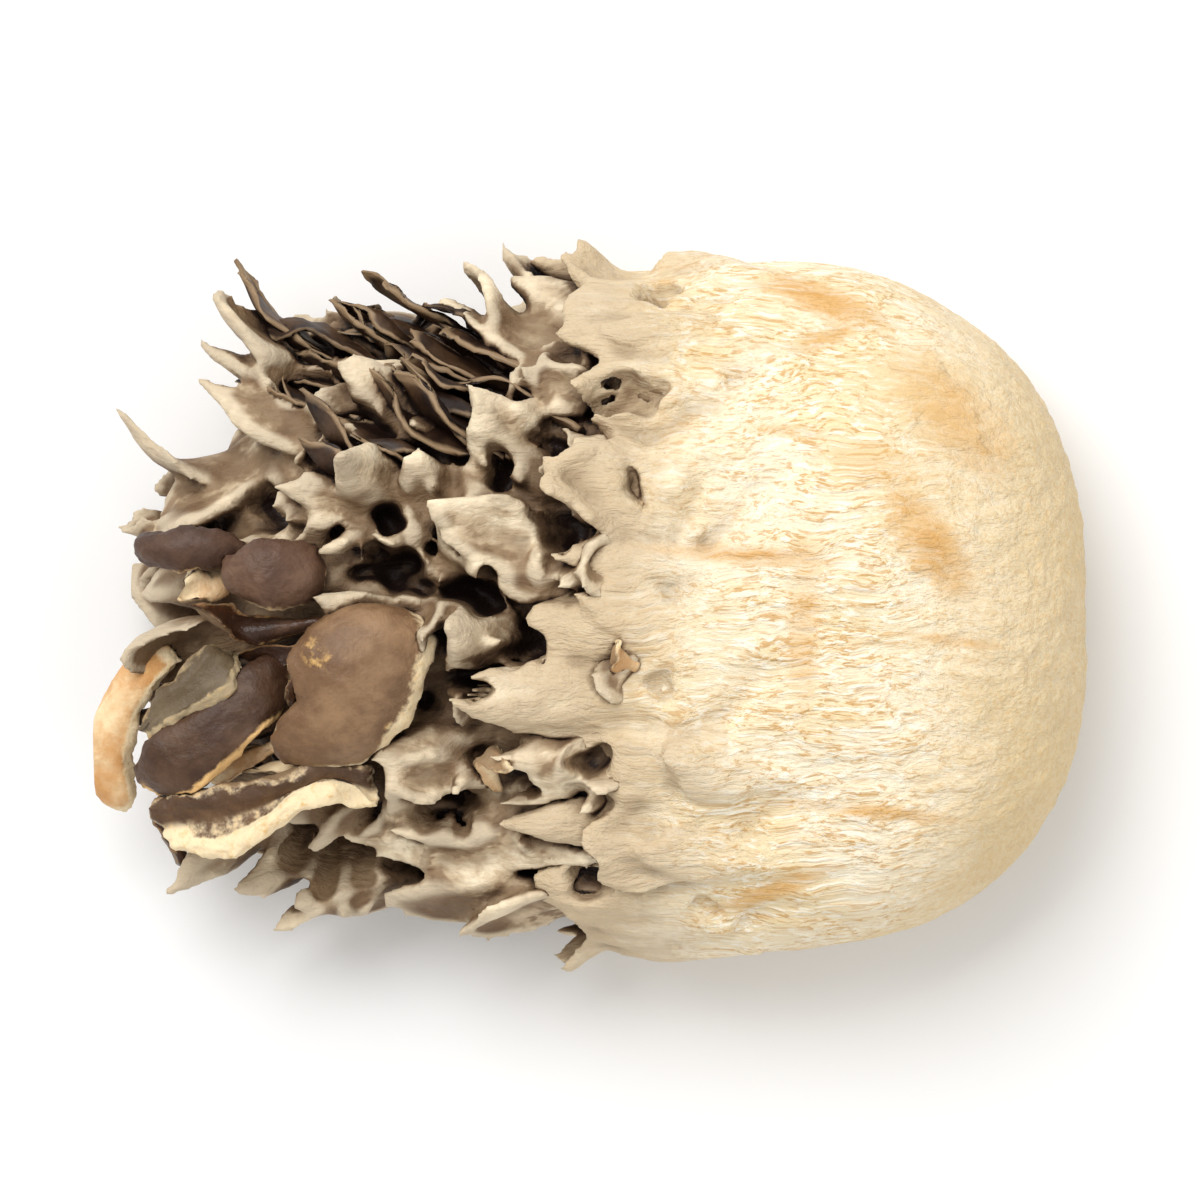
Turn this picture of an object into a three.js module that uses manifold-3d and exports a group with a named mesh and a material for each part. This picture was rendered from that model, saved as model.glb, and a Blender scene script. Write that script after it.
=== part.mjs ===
// A dried clump of maitake, torn from its head and lying on its side.
// Millimetres, +Z up, +X towards the thick round end of the stem base.
// The origin is on the surface it lies on, under the middle of the thick end.
import * as THREE from 'three';
import { mergeVertices } from 'three/addons/utils/BufferGeometryUtils.js';
import Module from 'manifold-3d';

// Stem base: a thick slab with a round end, which narrows into a branching core
const THICK_END_REACH = 25.3;
const THICK_END_HALF_WIDTH = 24.3;
const THICK_END_SQUARENESS = 2.6;
const THICK_END_RISE = 15;
const THICK_END_DEPTH = 8.6;
const BELLY_HEIGHT = 8;
const OVAL = 2.3;
const BRANCH_HALF_WIDTH = 17;
const BRANCH_RISE = 9.5;
const BRANCH_DEPTH = 5;
const BRANCH_BOW = 2;
const TAPER_START = -22;
const CORE_END = -36;
const BASE_END = -6;
const FURROWS = 7;
const FURROW_DEPTH = 1.6;
const SWELLING = 0.5;
const CORE_SHRINK = 0.6;

// Small fronds: rows of waved blades that overlap like shingles
const ROWS = 6;
const FIRST_ROW_X = -8.5;
const LAST_ROW_X = -33.5;
const FIRST_ROW_FRONDS = 18;
const LAST_ROW_FRONDS = 11;
const END_FRONDS = 7;
const BASE_ROW_FRONDS = 19;
const ROW_START_ANGLE = -90;
const FROND_LENGTH = 9;
const FROND_HALF_WIDTH = 3.3;
const FROND_THICKNESS = 1.5;
const ROOT_SINK = 1.4;
const SEED = 31;

// Where the small fronds leave room for the larger lobes and for the caps
const CAPS_FROM_X = -20.5;
const CAPS_FROM_Y = 4;
const LOBES_FROM_X = -31;
const LOBES_FROM_RISE = 0.55;

// Larger lobes, placed by where they show in a straight view from above that has
// MM_PER_PIXEL to a pixel and the origin at MIDDLE_PIXEL. A lift is a height over the skin.
const MM_PER_PIXEL = 0.17;
const MIDDLE_PIXEL = [782, 380];
const LOBE_THICKNESS = 2;
const LOBE_RUFFLE = 0.1;
const LOBES = [
  // along the upper side
  { foot: [812, 282], tip: [734, 268], lift: [-1, 0.8], halfWidth: 2.6, roll: 8, cup: -0.2 },
  { foot: [812, 250], tip: [753, 239], lift: [-1, 0.9], halfWidth: 1.9, roll: 25, cup: -0.2 },
  { foot: [744, 270], tip: [700, 254], lift: [-0.8, 2], halfWidth: 2, roll: 20, cup: -0.3 },
  { foot: [740, 260], tip: [694, 247], lift: [-0.8, 1.6], halfWidth: 1.5, roll: 35 },
  { foot: [734, 294], tip: [706, 280], lift: [-0.6, 2.4], halfWidth: 1.5, roll: -20, cup: 0.6 },
  { foot: [716, 292], tip: [659, 253], lift: [-0.5, 3.4], halfWidth: 1.2, roll: 62, cup: 0.5, bend: 0.1 },
  { foot: [770, 348], tip: [706, 316], lift: [-1.2, 2.2], halfWidth: 3.1, roll: 6, cup: -0.3, bend: 0.5 },
  // the middle
  { foot: [712, 334], tip: [673, 292], lift: [-0.8, 3.6], halfWidth: 2.7, roll: 8, cup: -0.4, bend: 0.7 },
  { foot: [722, 354], tip: [657, 337], lift: [-0.8, 3.4], halfWidth: 2.5, roll: -12, cup: 0.5, bend: 0.4 },
  { foot: [652, 342], tip: [616, 309], lift: [-0.8, 4.2], halfWidth: 2.4, roll: 5, cup: -0.5, bend: 0.9 },
  { foot: [668, 316], tip: [620, 278], lift: [-0.8, 4], halfWidth: 2.1, roll: 20, cup: -0.3, bend: 0.5 },
  { foot: [630, 322], tip: [566, 292], lift: [-0.8, 3.6], halfWidth: 1.9, roll: 25, cup: 0.4 },
  { foot: [622, 304], tip: [562, 271], lift: [-0.6, 3.2], halfWidth: 1.1, roll: 65, cup: 0.4, bend: 0.1 },
  { foot: [646, 345], tip: [598, 326], lift: [-0.8, 2.6], halfWidth: 1.3, roll: -15 },
  { foot: [670, 346], tip: [650, 312], lift: [-0.8, 4.2], halfWidth: 1.6, roll: 5, cup: -0.4 },
  { foot: [688, 370], tip: [662, 340], lift: [-0.8, 2.8], halfWidth: 1.9, roll: -5, cup: -0.4 },
  { foot: [674, 366], tip: [616, 346], lift: [-0.8, 3.6], halfWidth: 1.3, roll: -30, cup: 0.3 },
  { foot: [722, 374], tip: [685, 363], lift: [-0.6, 2.2], halfWidth: 1.6, roll: -5 },
  { foot: [776, 364], tip: [712, 357], lift: [-1.2, 1.4], halfWidth: 2.3, cup: -0.2 },
  { foot: [698, 394], tip: [658, 386], lift: [-0.8, 4], halfWidth: 2.9, roll: -6, cup: -0.45, bend: 0.8 },
  { foot: [750, 390], tip: [696, 384], lift: [-0.8, 2], halfWidth: 2.1, cup: -0.3 },
  { foot: [764, 386], tip: [718, 374], lift: [-1, 1.8], halfWidth: 1.9, roll: 5, cup: 0.3 },
  { foot: [656, 392], tip: [613, 374], lift: [-0.8, 2.6], halfWidth: 2.3, roll: -8, cup: 0.2 },
  // the lower middle
  { foot: [758, 414], tip: [666, 414], lift: [-1, 3], halfWidth: 3.3, roll: -4, cup: -0.35, bend: 0.5 },
  { foot: [684, 430], tip: [634, 441], lift: [-0.8, 2.4], halfWidth: 1.7, roll: -10, cup: -0.3 },
  { foot: [740, 441], tip: [687, 436], lift: [-0.8, 2.2], halfWidth: 1.8, roll: -8, cup: -0.4, bend: 0.6 },
  { foot: [676, 447], tip: [638, 444], lift: [-0.5, 2.8], halfWidth: 1.9, roll: -10, cup: 0.8 },
  { foot: [656, 470], tip: [642, 448], lift: [-0.8, 2.6], halfWidth: 1.4, roll: -20, cup: -0.3 },
  { foot: [716, 471], tip: [646, 468], lift: [-0.8, 2.2], halfWidth: 1.5, roll: -20, cup: -0.2 },
  { foot: [760, 466], tip: [690, 464], lift: [-1, 1.6], halfWidth: 2, roll: -12, cup: -0.2 },
  // along the lower side
  { foot: [746, 478], tip: [632, 477], lift: [-0.8, 2.6], halfWidth: 1.4, roll: -25, cup: 0.3, bend: 0.1 },
  { foot: [730, 494], tip: [638, 497], lift: [-0.6, 2.2], halfWidth: 2.5, roll: -48, cup: 0.2, bend: 0.1 },
  { foot: [668, 492], tip: [598, 496], lift: [-0.6, 2.4], halfWidth: 2.1, roll: -50, cup: 0.2, bend: 0.2 },
  { foot: [784, 506], tip: [718, 498], lift: [-1, 1.4], halfWidth: 2.4, roll: -38, cup: -0.2 },
  { foot: [796, 516], tip: [738, 514], lift: [-1, 1.2], halfWidth: 2.2, roll: -60, cup: -0.2 },
  { foot: [626, 470], tip: [576, 496], lift: [-0.5, 2], halfWidth: 1.8, roll: -30, cup: -0.3 },
  { foot: [606, 464], tip: [547, 490], lift: [-0.5, 2], halfWidth: 1.8, roll: -30, cup: -0.3 },
  { foot: [806, 446], tip: [752, 440], lift: [-1.2, 0.8], halfWidth: 2.6, cup: -0.2, bend: 0.2 },
  { foot: [806, 480], tip: [744, 476], lift: [-1.2, 1], halfWidth: 2.4, roll: -14, cup: -0.2, bend: 0.2 },
  // stalks that carry the caps
  { foot: [652, 424], tip: [622, 412], lift: [-1.5, 3.2], halfWidth: 2.2, roll: -10, bend: 0.5 },
  { foot: [612, 412], tip: [570, 430], lift: [-1.5, 4.5], halfWidth: 1.8, roll: -10, bend: 0.5 },
  { foot: [608, 396], tip: [572, 410], lift: [-1.5, 3.2], halfWidth: 1.7, bend: 0.5 },
  { foot: [596, 424], tip: [535, 426], lift: [-3, 3.6], halfWidth: 2, bend: 0.3 },
  { foot: [640, 448], tip: [590, 462], lift: [-1.5, 4], halfWidth: 1.9, roll: -10, bend: 0.5 },
  { foot: [630, 366], tip: [594, 364], lift: [-1.2, 1.6], halfWidth: 1.6, bend: 0.4 },
  { foot: [610, 358], tip: [562, 354], lift: [-1.5, 0.6], halfWidth: 1.3, bend: 0.3 },
];

// Hollows between the lobes: middle pixel, half length, half width, depth, heading in degrees
const HOLLOW_MOUTH = 1;
const HOLLOWS = [
  { middle: [645, 362], reach: [2.9, 1.6], depth: 4.4, heading: -15 },
  { middle: [666, 458], reach: [2.3, 1.4], depth: 4, heading: 0 },
  { middle: [620, 470], reach: [3.5, 2.1], depth: 5, heading: 5 },
  { middle: [609, 288], reach: [2, 1.5], depth: 3.4, heading: -20 },
  { middle: [669, 264], reach: [2.2, 1.3], depth: 3.4, heading: -40 },
];

// Thin lamellae on edge, in lines of feet from one pixel to another
const LAMELLA_LINES = [
  [[716, 312], [640, 342]],
  [[704, 286], [622, 300]],
  [[690, 268], [612, 276]],
];
const LAMELLAE_PER_LINE = 4;

// Large caps: each is a sheet between its right and its left edge, seen along it from its foot to its
// tip. A point of an edge is a pixel of the same view and a height. The crown is the height of the
// middle over the edges.
const CAP_THICKNESS = 1.6;
const CAP_END_ROUND = 0.16;
const CAPS = [
  {
    name: 'taupe_cap', crown: 1.6,
    right: [[632, 439, 17], [647, 426, 18.5], [655, 413, 19], [661, 401, 19.5], [663, 389, 19.5],
      [651, 386, 19]],
    left: [[600, 437, 17], [597, 426, 18.5], [607, 415, 20], [604, 403, 20.5], [607, 393, 20],
      [617, 388, 19]],
  },
  {
    name: 'long_dark_cap', crown: 0.5,
    right: [[601, 397, 15], [583, 404, 16.5], [562, 421, 17], [546, 431, 16.5], [541, 444, 15]],
    left: [[600, 415, 15.5], [592, 428, 17], [577, 442, 17], [566, 451, 16.5], [549, 454, 15]],
  },
  {
    name: 'grey_lobe_cap', crown: -0.5,
    right: [[580, 397, 16.5], [569, 396, 17.5], [557, 406, 17.5], [546, 418, 16.5], [542, 428, 15]],
    left: [[583, 402, 17], [580, 410, 18], [568, 420, 18], [554, 427, 17.5], [545, 432, 16]],
  },
  {
    name: 'curled_rim_cap', crown: 0.9,
    right: [[549, 393, 13], [536, 405, 12.5], [527, 418, 12], [521, 432, 11.5], [521, 446, 10.5],
      [528, 459, 9.5]],
    left: [[557, 399, 13.5], [548, 411, 14], [541, 422, 13.5], [537, 434, 13], [537, 447, 12],
      [535, 458, 10.5]],
  },
  {
    name: 'rolled_cap', crown: -1.3,
    right: [[635, 444, 17.5], [618, 441, 18.5], [603, 446, 18.5], [588, 450, 18], [572, 453, 17.5],
      [556, 454, 16.5], [546, 459, 15]],
    left: [[637, 460, 16.5], [623, 455, 18], [609, 458, 18.5], [599, 466, 18.5], [588, 474, 18],
      [575, 480, 17], [556, 477, 15.5]],
  },
  {
    name: 'oval_cap', crown: 0.8,
    right: [[612, 356, 17.5], [604, 352, 18.5], [594, 351, 19], [585, 355, 18.5], [580, 361, 17.5]],
    left: [[614, 372, 17.5], [606, 377, 18], [595, 377, 18.5], [586, 374, 18], [580, 367, 17.5]],
  },
  {
    name: 'small_oval_cap', crown: 0.6,
    right: [[585, 354, 15.5], [573, 349, 16.5], [562, 347, 16.5], [552, 350, 16], [542, 352, 15]],
    left: [[585, 358, 15.5], [573, 361, 16], [562, 361, 16.5], [552, 359, 16], [542, 355, 15]],
  },
];

// How finely each surface is split, and the gap kept between neighbouring pieces
const FROND_ROWS = [0, 0.58, 1];
const LOBE_ROWS = [0, 0.4, 0.75, 1];
const BLADE_COLUMNS = 3;
const CAP_COLUMNS = 4;
const HOLLOW_SPLITS = [8, 6];
const BASE_MESH = { stations: 16, around: 36 };
const CORE_MESH = { stations: 6, around: 16 };
const PIECE_GAP = 0.38;
const SHORTEST_EDGE = 0.01;

const STEM_FINISH = { color: 0xeedcb6, roughness: 0.75, metalness: 0 };
const FROND_FINISH = { color: 0x9c8468, roughness: 0.8, metalness: 0 };
const CAP_FINISH = { color: 0x76593c, roughness: 0.7, metalness: 0 };

const wasm = await Module();
wasm.setup();

const radians = THREE.MathUtils.degToRad;
const mix = THREE.MathUtils.lerp;

// Smooth step from 0 at a to 1 at b, where b may be below a
function ramp(a, b, x) {
  const t = THREE.MathUtils.clamp((x - a) / (b - a), 0, 1);
  return t * t * (3 - 2 * t);
}

// Seeded draws, the same in every run
class Draw {
  constructor(seed) {
    this.state = seed >>> 0;
  }

  next() {
    this.state = (this.state + 0x6d2b79f5) >>> 0;
    let t = this.state;
    t = Math.imul(t ^ (t >>> 15), t | 1) >>> 0;
    t = (t ^ (t + Math.imul(t ^ (t >>> 7), t | 61))) >>> 0;
    return ((t ^ (t >>> 14)) >>> 0) / 2 ** 32;
  }

  span(low, high) {
    return low + (high - low) * this.next();
  }
}

// The skin of the stem base and of the core that it narrows into

// The part of a size that is left at x, from all of it at 0 to none at the round end
function roundEnd(x, squareness, blunt) {
  const u = THREE.MathUtils.clamp(x / THICK_END_REACH, 0, 1);
  return (1 - u ** squareness) ** (1 / blunt);
}

function branchTaper(x) {
  const u = THREE.MathUtils.clamp((TAPER_START - x) / (TAPER_START - CORE_END), 0, 1);
  return Math.sqrt(1 - u ** 2.6);
}

function halfWidth(x) {
  const width = mix(THICK_END_HALF_WIDTH, BRANCH_HALF_WIDTH, ramp(0, -22, x));
  return width * roundEnd(x, THICK_END_SQUARENESS, THICK_END_SQUARENESS) * branchTaper(x);
}

function riseAbove(x) {
  const height = mix(THICK_END_RISE, BRANCH_RISE, ramp(-2, -20, x));
  return height * roundEnd(x, 3, 2.4) * branchTaper(x);
}

function depthBelow(x) {
  const depth = mix(THICK_END_DEPTH, BRANCH_DEPTH, ramp(-10, -22, x));
  return depth * roundEnd(x, 5, 2.5) * branchTaper(x);
}

function signedPower(value, exponent) {
  return Math.sign(value) * Math.abs(value) ** exponent;
}

// Angle 0 is the +Y side and a quarter turn is the top. The underside is flatter.
function skin(x, angle) {
  const c = Math.cos(angle);
  const s = Math.sin(angle);
  const top = s >= 0;
  const across = signedPower(c, top ? 2 / OVAL : 2 / 2.6);
  const up = signedPower(s, top ? 2 / OVAL : 2 / 3.4);
  const bow = BRANCH_BOW * ramp(-8, -32, x);
  const y = bow + halfWidth(x) * across;
  return new THREE.Vector3(x, y, BELLY_HEIGHT + (top ? riseAbove(x) : depthBelow(x)) * up);
}

// A point of the skin, its outward normal and the way along it towards the fronds
function skinFrame(x, angle) {
  const step = 0.05;
  const point = skin(x, angle);
  const along = skin(x - step, angle).sub(skin(x + step, angle)).normalize();
  const around = skin(x, angle + step).sub(skin(x, angle - step)).normalize();
  const normal = along.clone().cross(around).normalize();
  return { point, normal, along };
}

// Furrows between the branches, deeper towards the fronds, and low swellings on the thick end
function branchRelief(x, angle) {
  const ridge = Math.abs(Math.sin(FURROWS * angle + 0.9 * Math.sin(0.35 * x)));
  const furrow = FURROW_DEPTH * ramp(10, BASE_END, x) * (1 - ridge) ** 2;
  const swelling = SWELLING * ramp(22, 12, x) * Math.sin(0.19 * x + 2 * angle) * Math.sin(3 * angle + 1.2);
  return swelling - furrow;
}

// A length of skin between two stations, closed by a fan of triangles at each end
function skinGeometry(fromX, toX, { stations, around }, relief) {
  const points = [];
  const triangles = [];
  for (let i = 0; i <= stations; i++) {
    const x = mix(fromX, toX, (1 - Math.cos(Math.PI * i / stations)) / 2);
    for (let k = 0; k < around; k++) {
      const angle = 2 * Math.PI * k / around;
      const { point, normal } = skinFrame(x, angle);
      points.push(point.addScaledVector(normal, relief(x, angle)).setX(x));
    }
  }
  for (let i = 0; i < stations; i++) {
    for (let k = 0; k < around; k++) {
      const a = i * around + k;
      const b = i * around + (k + 1) % around;
      triangles.push(a, b + around, b, a, a + around, b + around);
    }
  }
  for (const ring of [0, stations]) {
    const hub = points.length;
    const middle = new THREE.Vector3();
    for (let k = 0; k < around; k++) {
      const a = ring * around + k;
      const b = ring * around + (k + 1) % around;
      middle.addScaledVector(points[a], 1 / around);
      triangles.push(...(ring === 0 ? [a, b, hub] : [b, a, hub]));
    }
    points.push(middle);
  }
  return new THREE.BufferGeometry().setFromPoints(points).setIndex(triangles);
}

// The blade of a frond or cap

// Its width at s of its length: a narrow foot, a broad fan and a blunt tip
function bladeWidth(s) {
  const past = 0.78 * Math.max(0, s - 0.62) / 0.38;
  return mix(0.36, 1, ramp(0, 0.7, s)) * Math.sqrt(1 - past * past);
}

// A point of it: s runs from foot to tip, t from side to side, and face is -1 or 1.
// On the margin both faces meet, unless the blade is grown, which moves every face outward.
function bladePoint(blade, s, t, face, grow) {
  const lobes = 0.06 * Math.sin(3.4 * t + blade.phase) + 0.03 * Math.sin(7.1 * t + 2.3 * blade.phase);
  const reach = s * (1 - 0.2 * t * t + lobes * s);
  const turn = blade.bend * reach + blade.curl * ramp(0.6, 1, s);
  const width = blade.halfWidth * bladeWidth(s);
  const wave = blade.ruffle * Math.sin(4 * t + blade.phase + 2.5 * s) * s * s;
  const inside = s > 0 && s < 1 && Math.abs(t) < 1;
  const halfThickness = (inside ? 0.5 * blade.thickness * mix(1, 0.6, s) : 0) + 1.5 * grow;
  const lift = width * (blade.cup * t * t + wave) + face * halfThickness;
  const onward = s === 0 ? -grow : s === 1 ? grow : 0;
  const outward = Math.abs(t) === 1 ? grow * t : 0;
  const run = blade.length * reach;
  const side = blade.aim.clone().cross(blade.out);
  return blade.root.clone()
    .addScaledVector(blade.aim, run * Math.cos(turn / 2) + onward * Math.cos(turn) - lift * Math.sin(turn))
    .addScaledVector(blade.out, run * Math.sin(turn / 2) + onward * Math.sin(turn) + lift * Math.cos(turn))
    .addScaledVector(side, width * t + outward);
}

// A closed slab, with both faces split into the same triangles, each of which has a point inside the
// margin. The faces share one margin, or a wall joins them where the slab is grown.
function slabGeometry(last, columns, grown, pointAt) {
  const points = [];
  const index = new Map();
  const at = (row, column, face) => {
    const onMargin = row === 0 || row === last || column === 0 || column === columns;
    const key = `${row} ${column} ${onMargin && !grown ? 0 : face}`;
    if (!index.has(key)) {
      index.set(key, points.length);
      points.push(pointAt(row, column, face));
    }
    return index.get(key);
  };
  const triangles = [];
  for (let row = 0; row < last; row++) {
    for (let column = 0; column < columns; column++) {
      for (const face of [-1, 1]) {
        const a = at(row, column, face);
        const b = at(row, column + 1, face);
        const c = at(row + 1, column + 1, face);
        const d = at(row + 1, column, face);
        const fromCorner = (row < last / 2) === (column < columns / 2);
        const corners = fromCorner ? [a, b, c, a, c, d] : [a, b, d, b, c, d];
        triangles.push(...(face > 0 ? corners : corners.reverse()));
      }
    }
  }
  if (grown) {
    const margin = [];
    for (let column = 0; column < columns; column++) margin.push([0, column]);
    for (let row = 0; row < last; row++) margin.push([row, columns]);
    for (let column = columns; column > 0; column--) margin.push([last, column]);
    for (let row = last; row > 0; row--) margin.push([row, 0]);
    margin.forEach(([row, column], i) => {
      const [nextRow, nextColumn] = margin[(i + 1) % margin.length];
      const a = at(row, column, -1);
      const b = at(nextRow, nextColumn, -1);
      const c = at(nextRow, nextColumn, 1);
      const d = at(row, column, 1);
      triangles.push(a, b, c, a, c, d);
    });
  }
  return new THREE.BufferGeometry().setFromPoints(points).setIndex(triangles);
}

function bladeGeometry(blade, grow) {
  const side = (column) => 2 * column / BLADE_COLUMNS - 1;
  const pointAt = (row, column, face) => bladePoint(blade, blade.rows[row], side(column), face, grow);
  return slabGeometry(blade.rows.length - 1, BLADE_COLUMNS, grow > 0, pointAt);
}

// A point of a cap's sheet: row runs along its edges, and t from the left edge at -1 to the right at 1
function sheetPoint({ right, left, crown }, row, t, face, grow) {
  const last = right.length - 1;
  const middle = (at) => onView(right[at]).add(onView(left[at])).multiplyScalar(0.5);
  const across = onView(right[row]).sub(onView(left[row]));
  const forward = middle(Math.min(row + 1, last)).sub(middle(Math.max(row - 1, 0))).normalize();
  const out = across.clone().cross(forward).normalize();
  const atEnd = row === 0 ? -1 : row === last ? 1 : 0;
  const round = 1 - t * t;
  const inside = atEnd === 0 && Math.abs(t) < 1;
  const halfThickness = (inside ? 0.5 * CAP_THICKNESS : 0) + 1.5 * grow;
  return middle(row)
    .addScaledVector(across, t / 2)
    .addScaledVector(across.clone().normalize(), Math.abs(t) === 1 ? t * grow : 0)
    .addScaledVector(forward, atEnd * (CAP_END_ROUND * across.length() * round + grow))
    .addScaledVector(out, crown * round * (atEnd === 0 ? 1 : 0.3) + face * halfThickness);
}

function sheetGeometry(cap, grow) {
  const side = (column) => 2 * column / CAP_COLUMNS - 1;
  const pointAt = (row, column, face) => sheetPoint(cap, row, side(column), face, grow);
  return slabGeometry(cap.right.length - 1, CAP_COLUMNS, grow > 0, pointAt);
}

// Where the fronds and caps stand

// A frond that leaves the skin at an angle from it, turned and rolled a little by the draws
function frondOnSkin(draw, x, angle, open, size) {
  const { point, normal, along } = skinFrame(x, angle);
  const aim = along.clone().multiplyScalar(Math.cos(open)).addScaledVector(normal, Math.sin(open));
  const out = normal.clone().multiplyScalar(Math.cos(open)).addScaledVector(along, -Math.sin(open));
  aim.applyAxisAngle(out, radians(draw.span(-12, 12)));
  out.applyAxisAngle(aim, radians(draw.span(-16, 16)));
  return {
    root: point.addScaledVector(normal, -0.8).addScaledVector(aim, -ROOT_SINK),
    aim,
    out,
    length: FROND_LENGTH * size * draw.span(0.85, 1.2) + ROOT_SINK,
    halfWidth: FROND_HALF_WIDTH * size * draw.span(0.8, 1.2),
    bend: draw.span(-0.2, 0.9),
    curl: draw.span(-0.6, 0.7),
    cup: draw.span(-0.5, 0.35),
    ruffle: draw.span(0.1, 0.3),
    phase: draw.span(0, 20),
    thickness: FROND_THICKNESS * draw.span(0.85, 1.15),
    rows: FROND_ROWS,
  };
}

// The angle of one of the fronds of a row, which goes all round
function rowAngle(draw, place, count) {
  return radians(ROW_START_ANGLE + 360 * (place + draw.span(-0.25, 0.25)) / count);
}

// The pale first row, which lies close along the stem base and hides where the colours meet
function baseFronds() {
  const draw = new Draw(SEED);
  const fronds = [];
  for (let i = 0; i < BASE_ROW_FRONDS; i++) {
    const angle = rowAngle(draw, i + 0.5, BASE_ROW_FRONDS);
    const frond = frondOnSkin(draw, draw.span(-3.5, -0.5), angle, radians(draw.span(2, 10)), 1.1);
    fronds.push({ ...frond, bend: 0.3 * frond.bend });
  }
  return fronds;
}

// The large caps leave no room for small fronds on top of this corner of the clump
function underCaps(place) {
  return place.x < CAPS_FROM_X && place.y < CAPS_FROM_Y && place.z > BELLY_HEIGHT + 3;
}

// Nor do the larger lobes on the rest of its upper side
function underLobes(place) {
  return place.x > LOBES_FROM_X && place.z > BELLY_HEIGHT + LOBES_FROM_RISE * riseAbove(place.x);
}

function smallFronds() {
  const draw = new Draw(SEED + 1);
  const fronds = [];
  for (let row = 0; row < ROWS; row++) {
    const u = row / (ROWS - 1);
    const count = Math.round(mix(FIRST_ROW_FRONDS, LAST_ROW_FRONDS, u));
    for (let i = 0; i < count; i++) {
      const angle = rowAngle(draw, i + 0.5 * (1 + row % 2), count);
      const x = mix(FIRST_ROW_X, LAST_ROW_X, u) + draw.span(-1, 1);
      const under = ramp(0, -0.5, Math.sin(angle));
      const open = radians(mix(mix(12, 28, u), 4, under) + draw.span(-4, 8));
      const frond = frondOnSkin(draw, x, angle, open, 1);
      if (!underCaps(frond.root) && !underLobes(frond.root)) fronds.push(frond);
    }
  }
  for (let i = 0; i < END_FRONDS; i++) {
    const angle = radians(360 * (i + draw.next()) / END_FRONDS);
    fronds.push(frondOnSkin(draw, draw.span(-35.2, -33), angle, radians(draw.span(20, 50)), 0.9));
  }
  return fronds;
}

function onView([across, down, z]) {
  const x = (across - MIDDLE_PIXEL[0]) * MM_PER_PIXEL;
  const y = (MIDDLE_PIXEL[1] - down) * MM_PER_PIXEL;
  return new THREE.Vector3(x, y, z);
}

// A point over a pixel, at a lift above the skin's upper side
function aboveSkin(pixel, lift) {
  const point = onView([...pixel, 0]);
  const x = Math.max(point.x, CORE_END + 1.5);
  const bow = BRANCH_BOW * ramp(-8, -32, x);
  const across = Math.min(Math.abs((point.y - bow) / halfWidth(x)), 1);
  return point.setZ(BELLY_HEIGHT + riseAbove(x) * (1 - across ** OVAL) ** (1 / OVAL) + lift);
}

function lobeBlade({ foot, tip, lift, halfWidth: width, roll = 0, cup = 0, bend = 0.3, ...form }) {
  const root = aboveSkin(foot, lift[0]);
  const span = aboveSkin(tip, lift[1]).sub(root);
  const aim = span.clone().normalize();
  const out = new THREE.Vector3(0, 0, 1).projectOnPlane(aim).normalize();
  out.applyAxisAngle(aim, radians(roll));
  const phase = (0.37 * (foot[0] + 2 * foot[1] + tip[0])) % 20;
  return {
    root, aim, out, length: span.length(), halfWidth: width, bend, curl: 0, cup,
    ruffle: LOBE_RUFFLE, phase, thickness: LOBE_THICKNESS, rows: LOBE_ROWS, ...form,
  };
}

function lamellae() {
  const draw = new Draw(SEED + 7);
  return LAMELLA_LINES.flatMap(([start, end]) => Array.from({ length: LAMELLAE_PER_LINE }, (_, i) => {
    const u = (i + draw.span(0.1, 0.9)) / LAMELLAE_PER_LINE;
    const foot = start.map((from, k) => mix(from, end[k], u) + draw.span(-5, 5));
    const reach = draw.span(30, 46);
    const heading = radians(draw.span(18, 36));
    const tip = [foot[0] - reach * Math.cos(heading), foot[1] - reach * Math.sin(heading)];
    return lobeBlade({
      foot, tip, lift: [draw.span(-0.6, 0.2), draw.span(2.6, 4.4)], halfWidth: draw.span(1.3, 2),
      roll: draw.span(60, 95), cup: draw.span(-0.4, 0.4), bend: draw.span(-0.2, 0.4), thickness: 1.1,
    });
  }));
}

// Closed solids

function solidOf(geometry) {
  const plain = geometry.clone();
  plain.deleteAttribute('normal');
  plain.deleteAttribute('uv');
  const merged = mergeVertices(plain, 1e-4);
  return new wasm.Manifold(new wasm.Mesh({
    numProp: 3,
    vertProperties: Float32Array.from(merged.attributes.position.array),
    triVerts: Uint32Array.from(merged.index.array),
  }));
}

function geometryOf(solid) {
  const mesh = solid.getMesh();
  const geometry = new THREE.BufferGeometry();
  geometry.setAttribute('position', new THREE.BufferAttribute(mesh.vertProperties, 3));
  geometry.setIndex(new THREE.BufferAttribute(mesh.triVerts, 1));
  geometry.computeVertexNormals();
  return geometry;
}

function smallBlade(frond, grow = 0) {
  return solidOf(bladeGeometry(frond, grow));
}

function capSolid(cap, grow = 0) {
  return solidOf(sheetGeometry(cap, grow));
}

// The egg that leaves a hollow, with its mouth a little above the skin
function hollowSolid({ middle, reach, depth, heading }) {
  const egg = new THREE.SphereGeometry(1, ...HOLLOW_SPLITS);
  egg.scale(reach[0], reach[1], depth + HOLLOW_MOUTH);
  egg.rotateZ(radians(heading));
  egg.translate(...aboveSkin(middle, HOLLOW_MOUTH).toArray());
  return solidOf(egg);
}

function withFronds(core, fronds) {
  return fronds.reduce((body, frond) => body.add(smallBlade(frond)), core);
}

// The largest body alone: loose scraps go, and hollows that joining closed are filled
function soundBody(solid) {
  return solid.decompose().reduce((best, body) => (body.volume() > best.volume() ? body : best));
}

// The clump

const group = new THREE.Group();
const belowSurface = solidOf(new THREE.BoxGeometry(120, 90, 20).translate(0, 0, -10));

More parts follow.
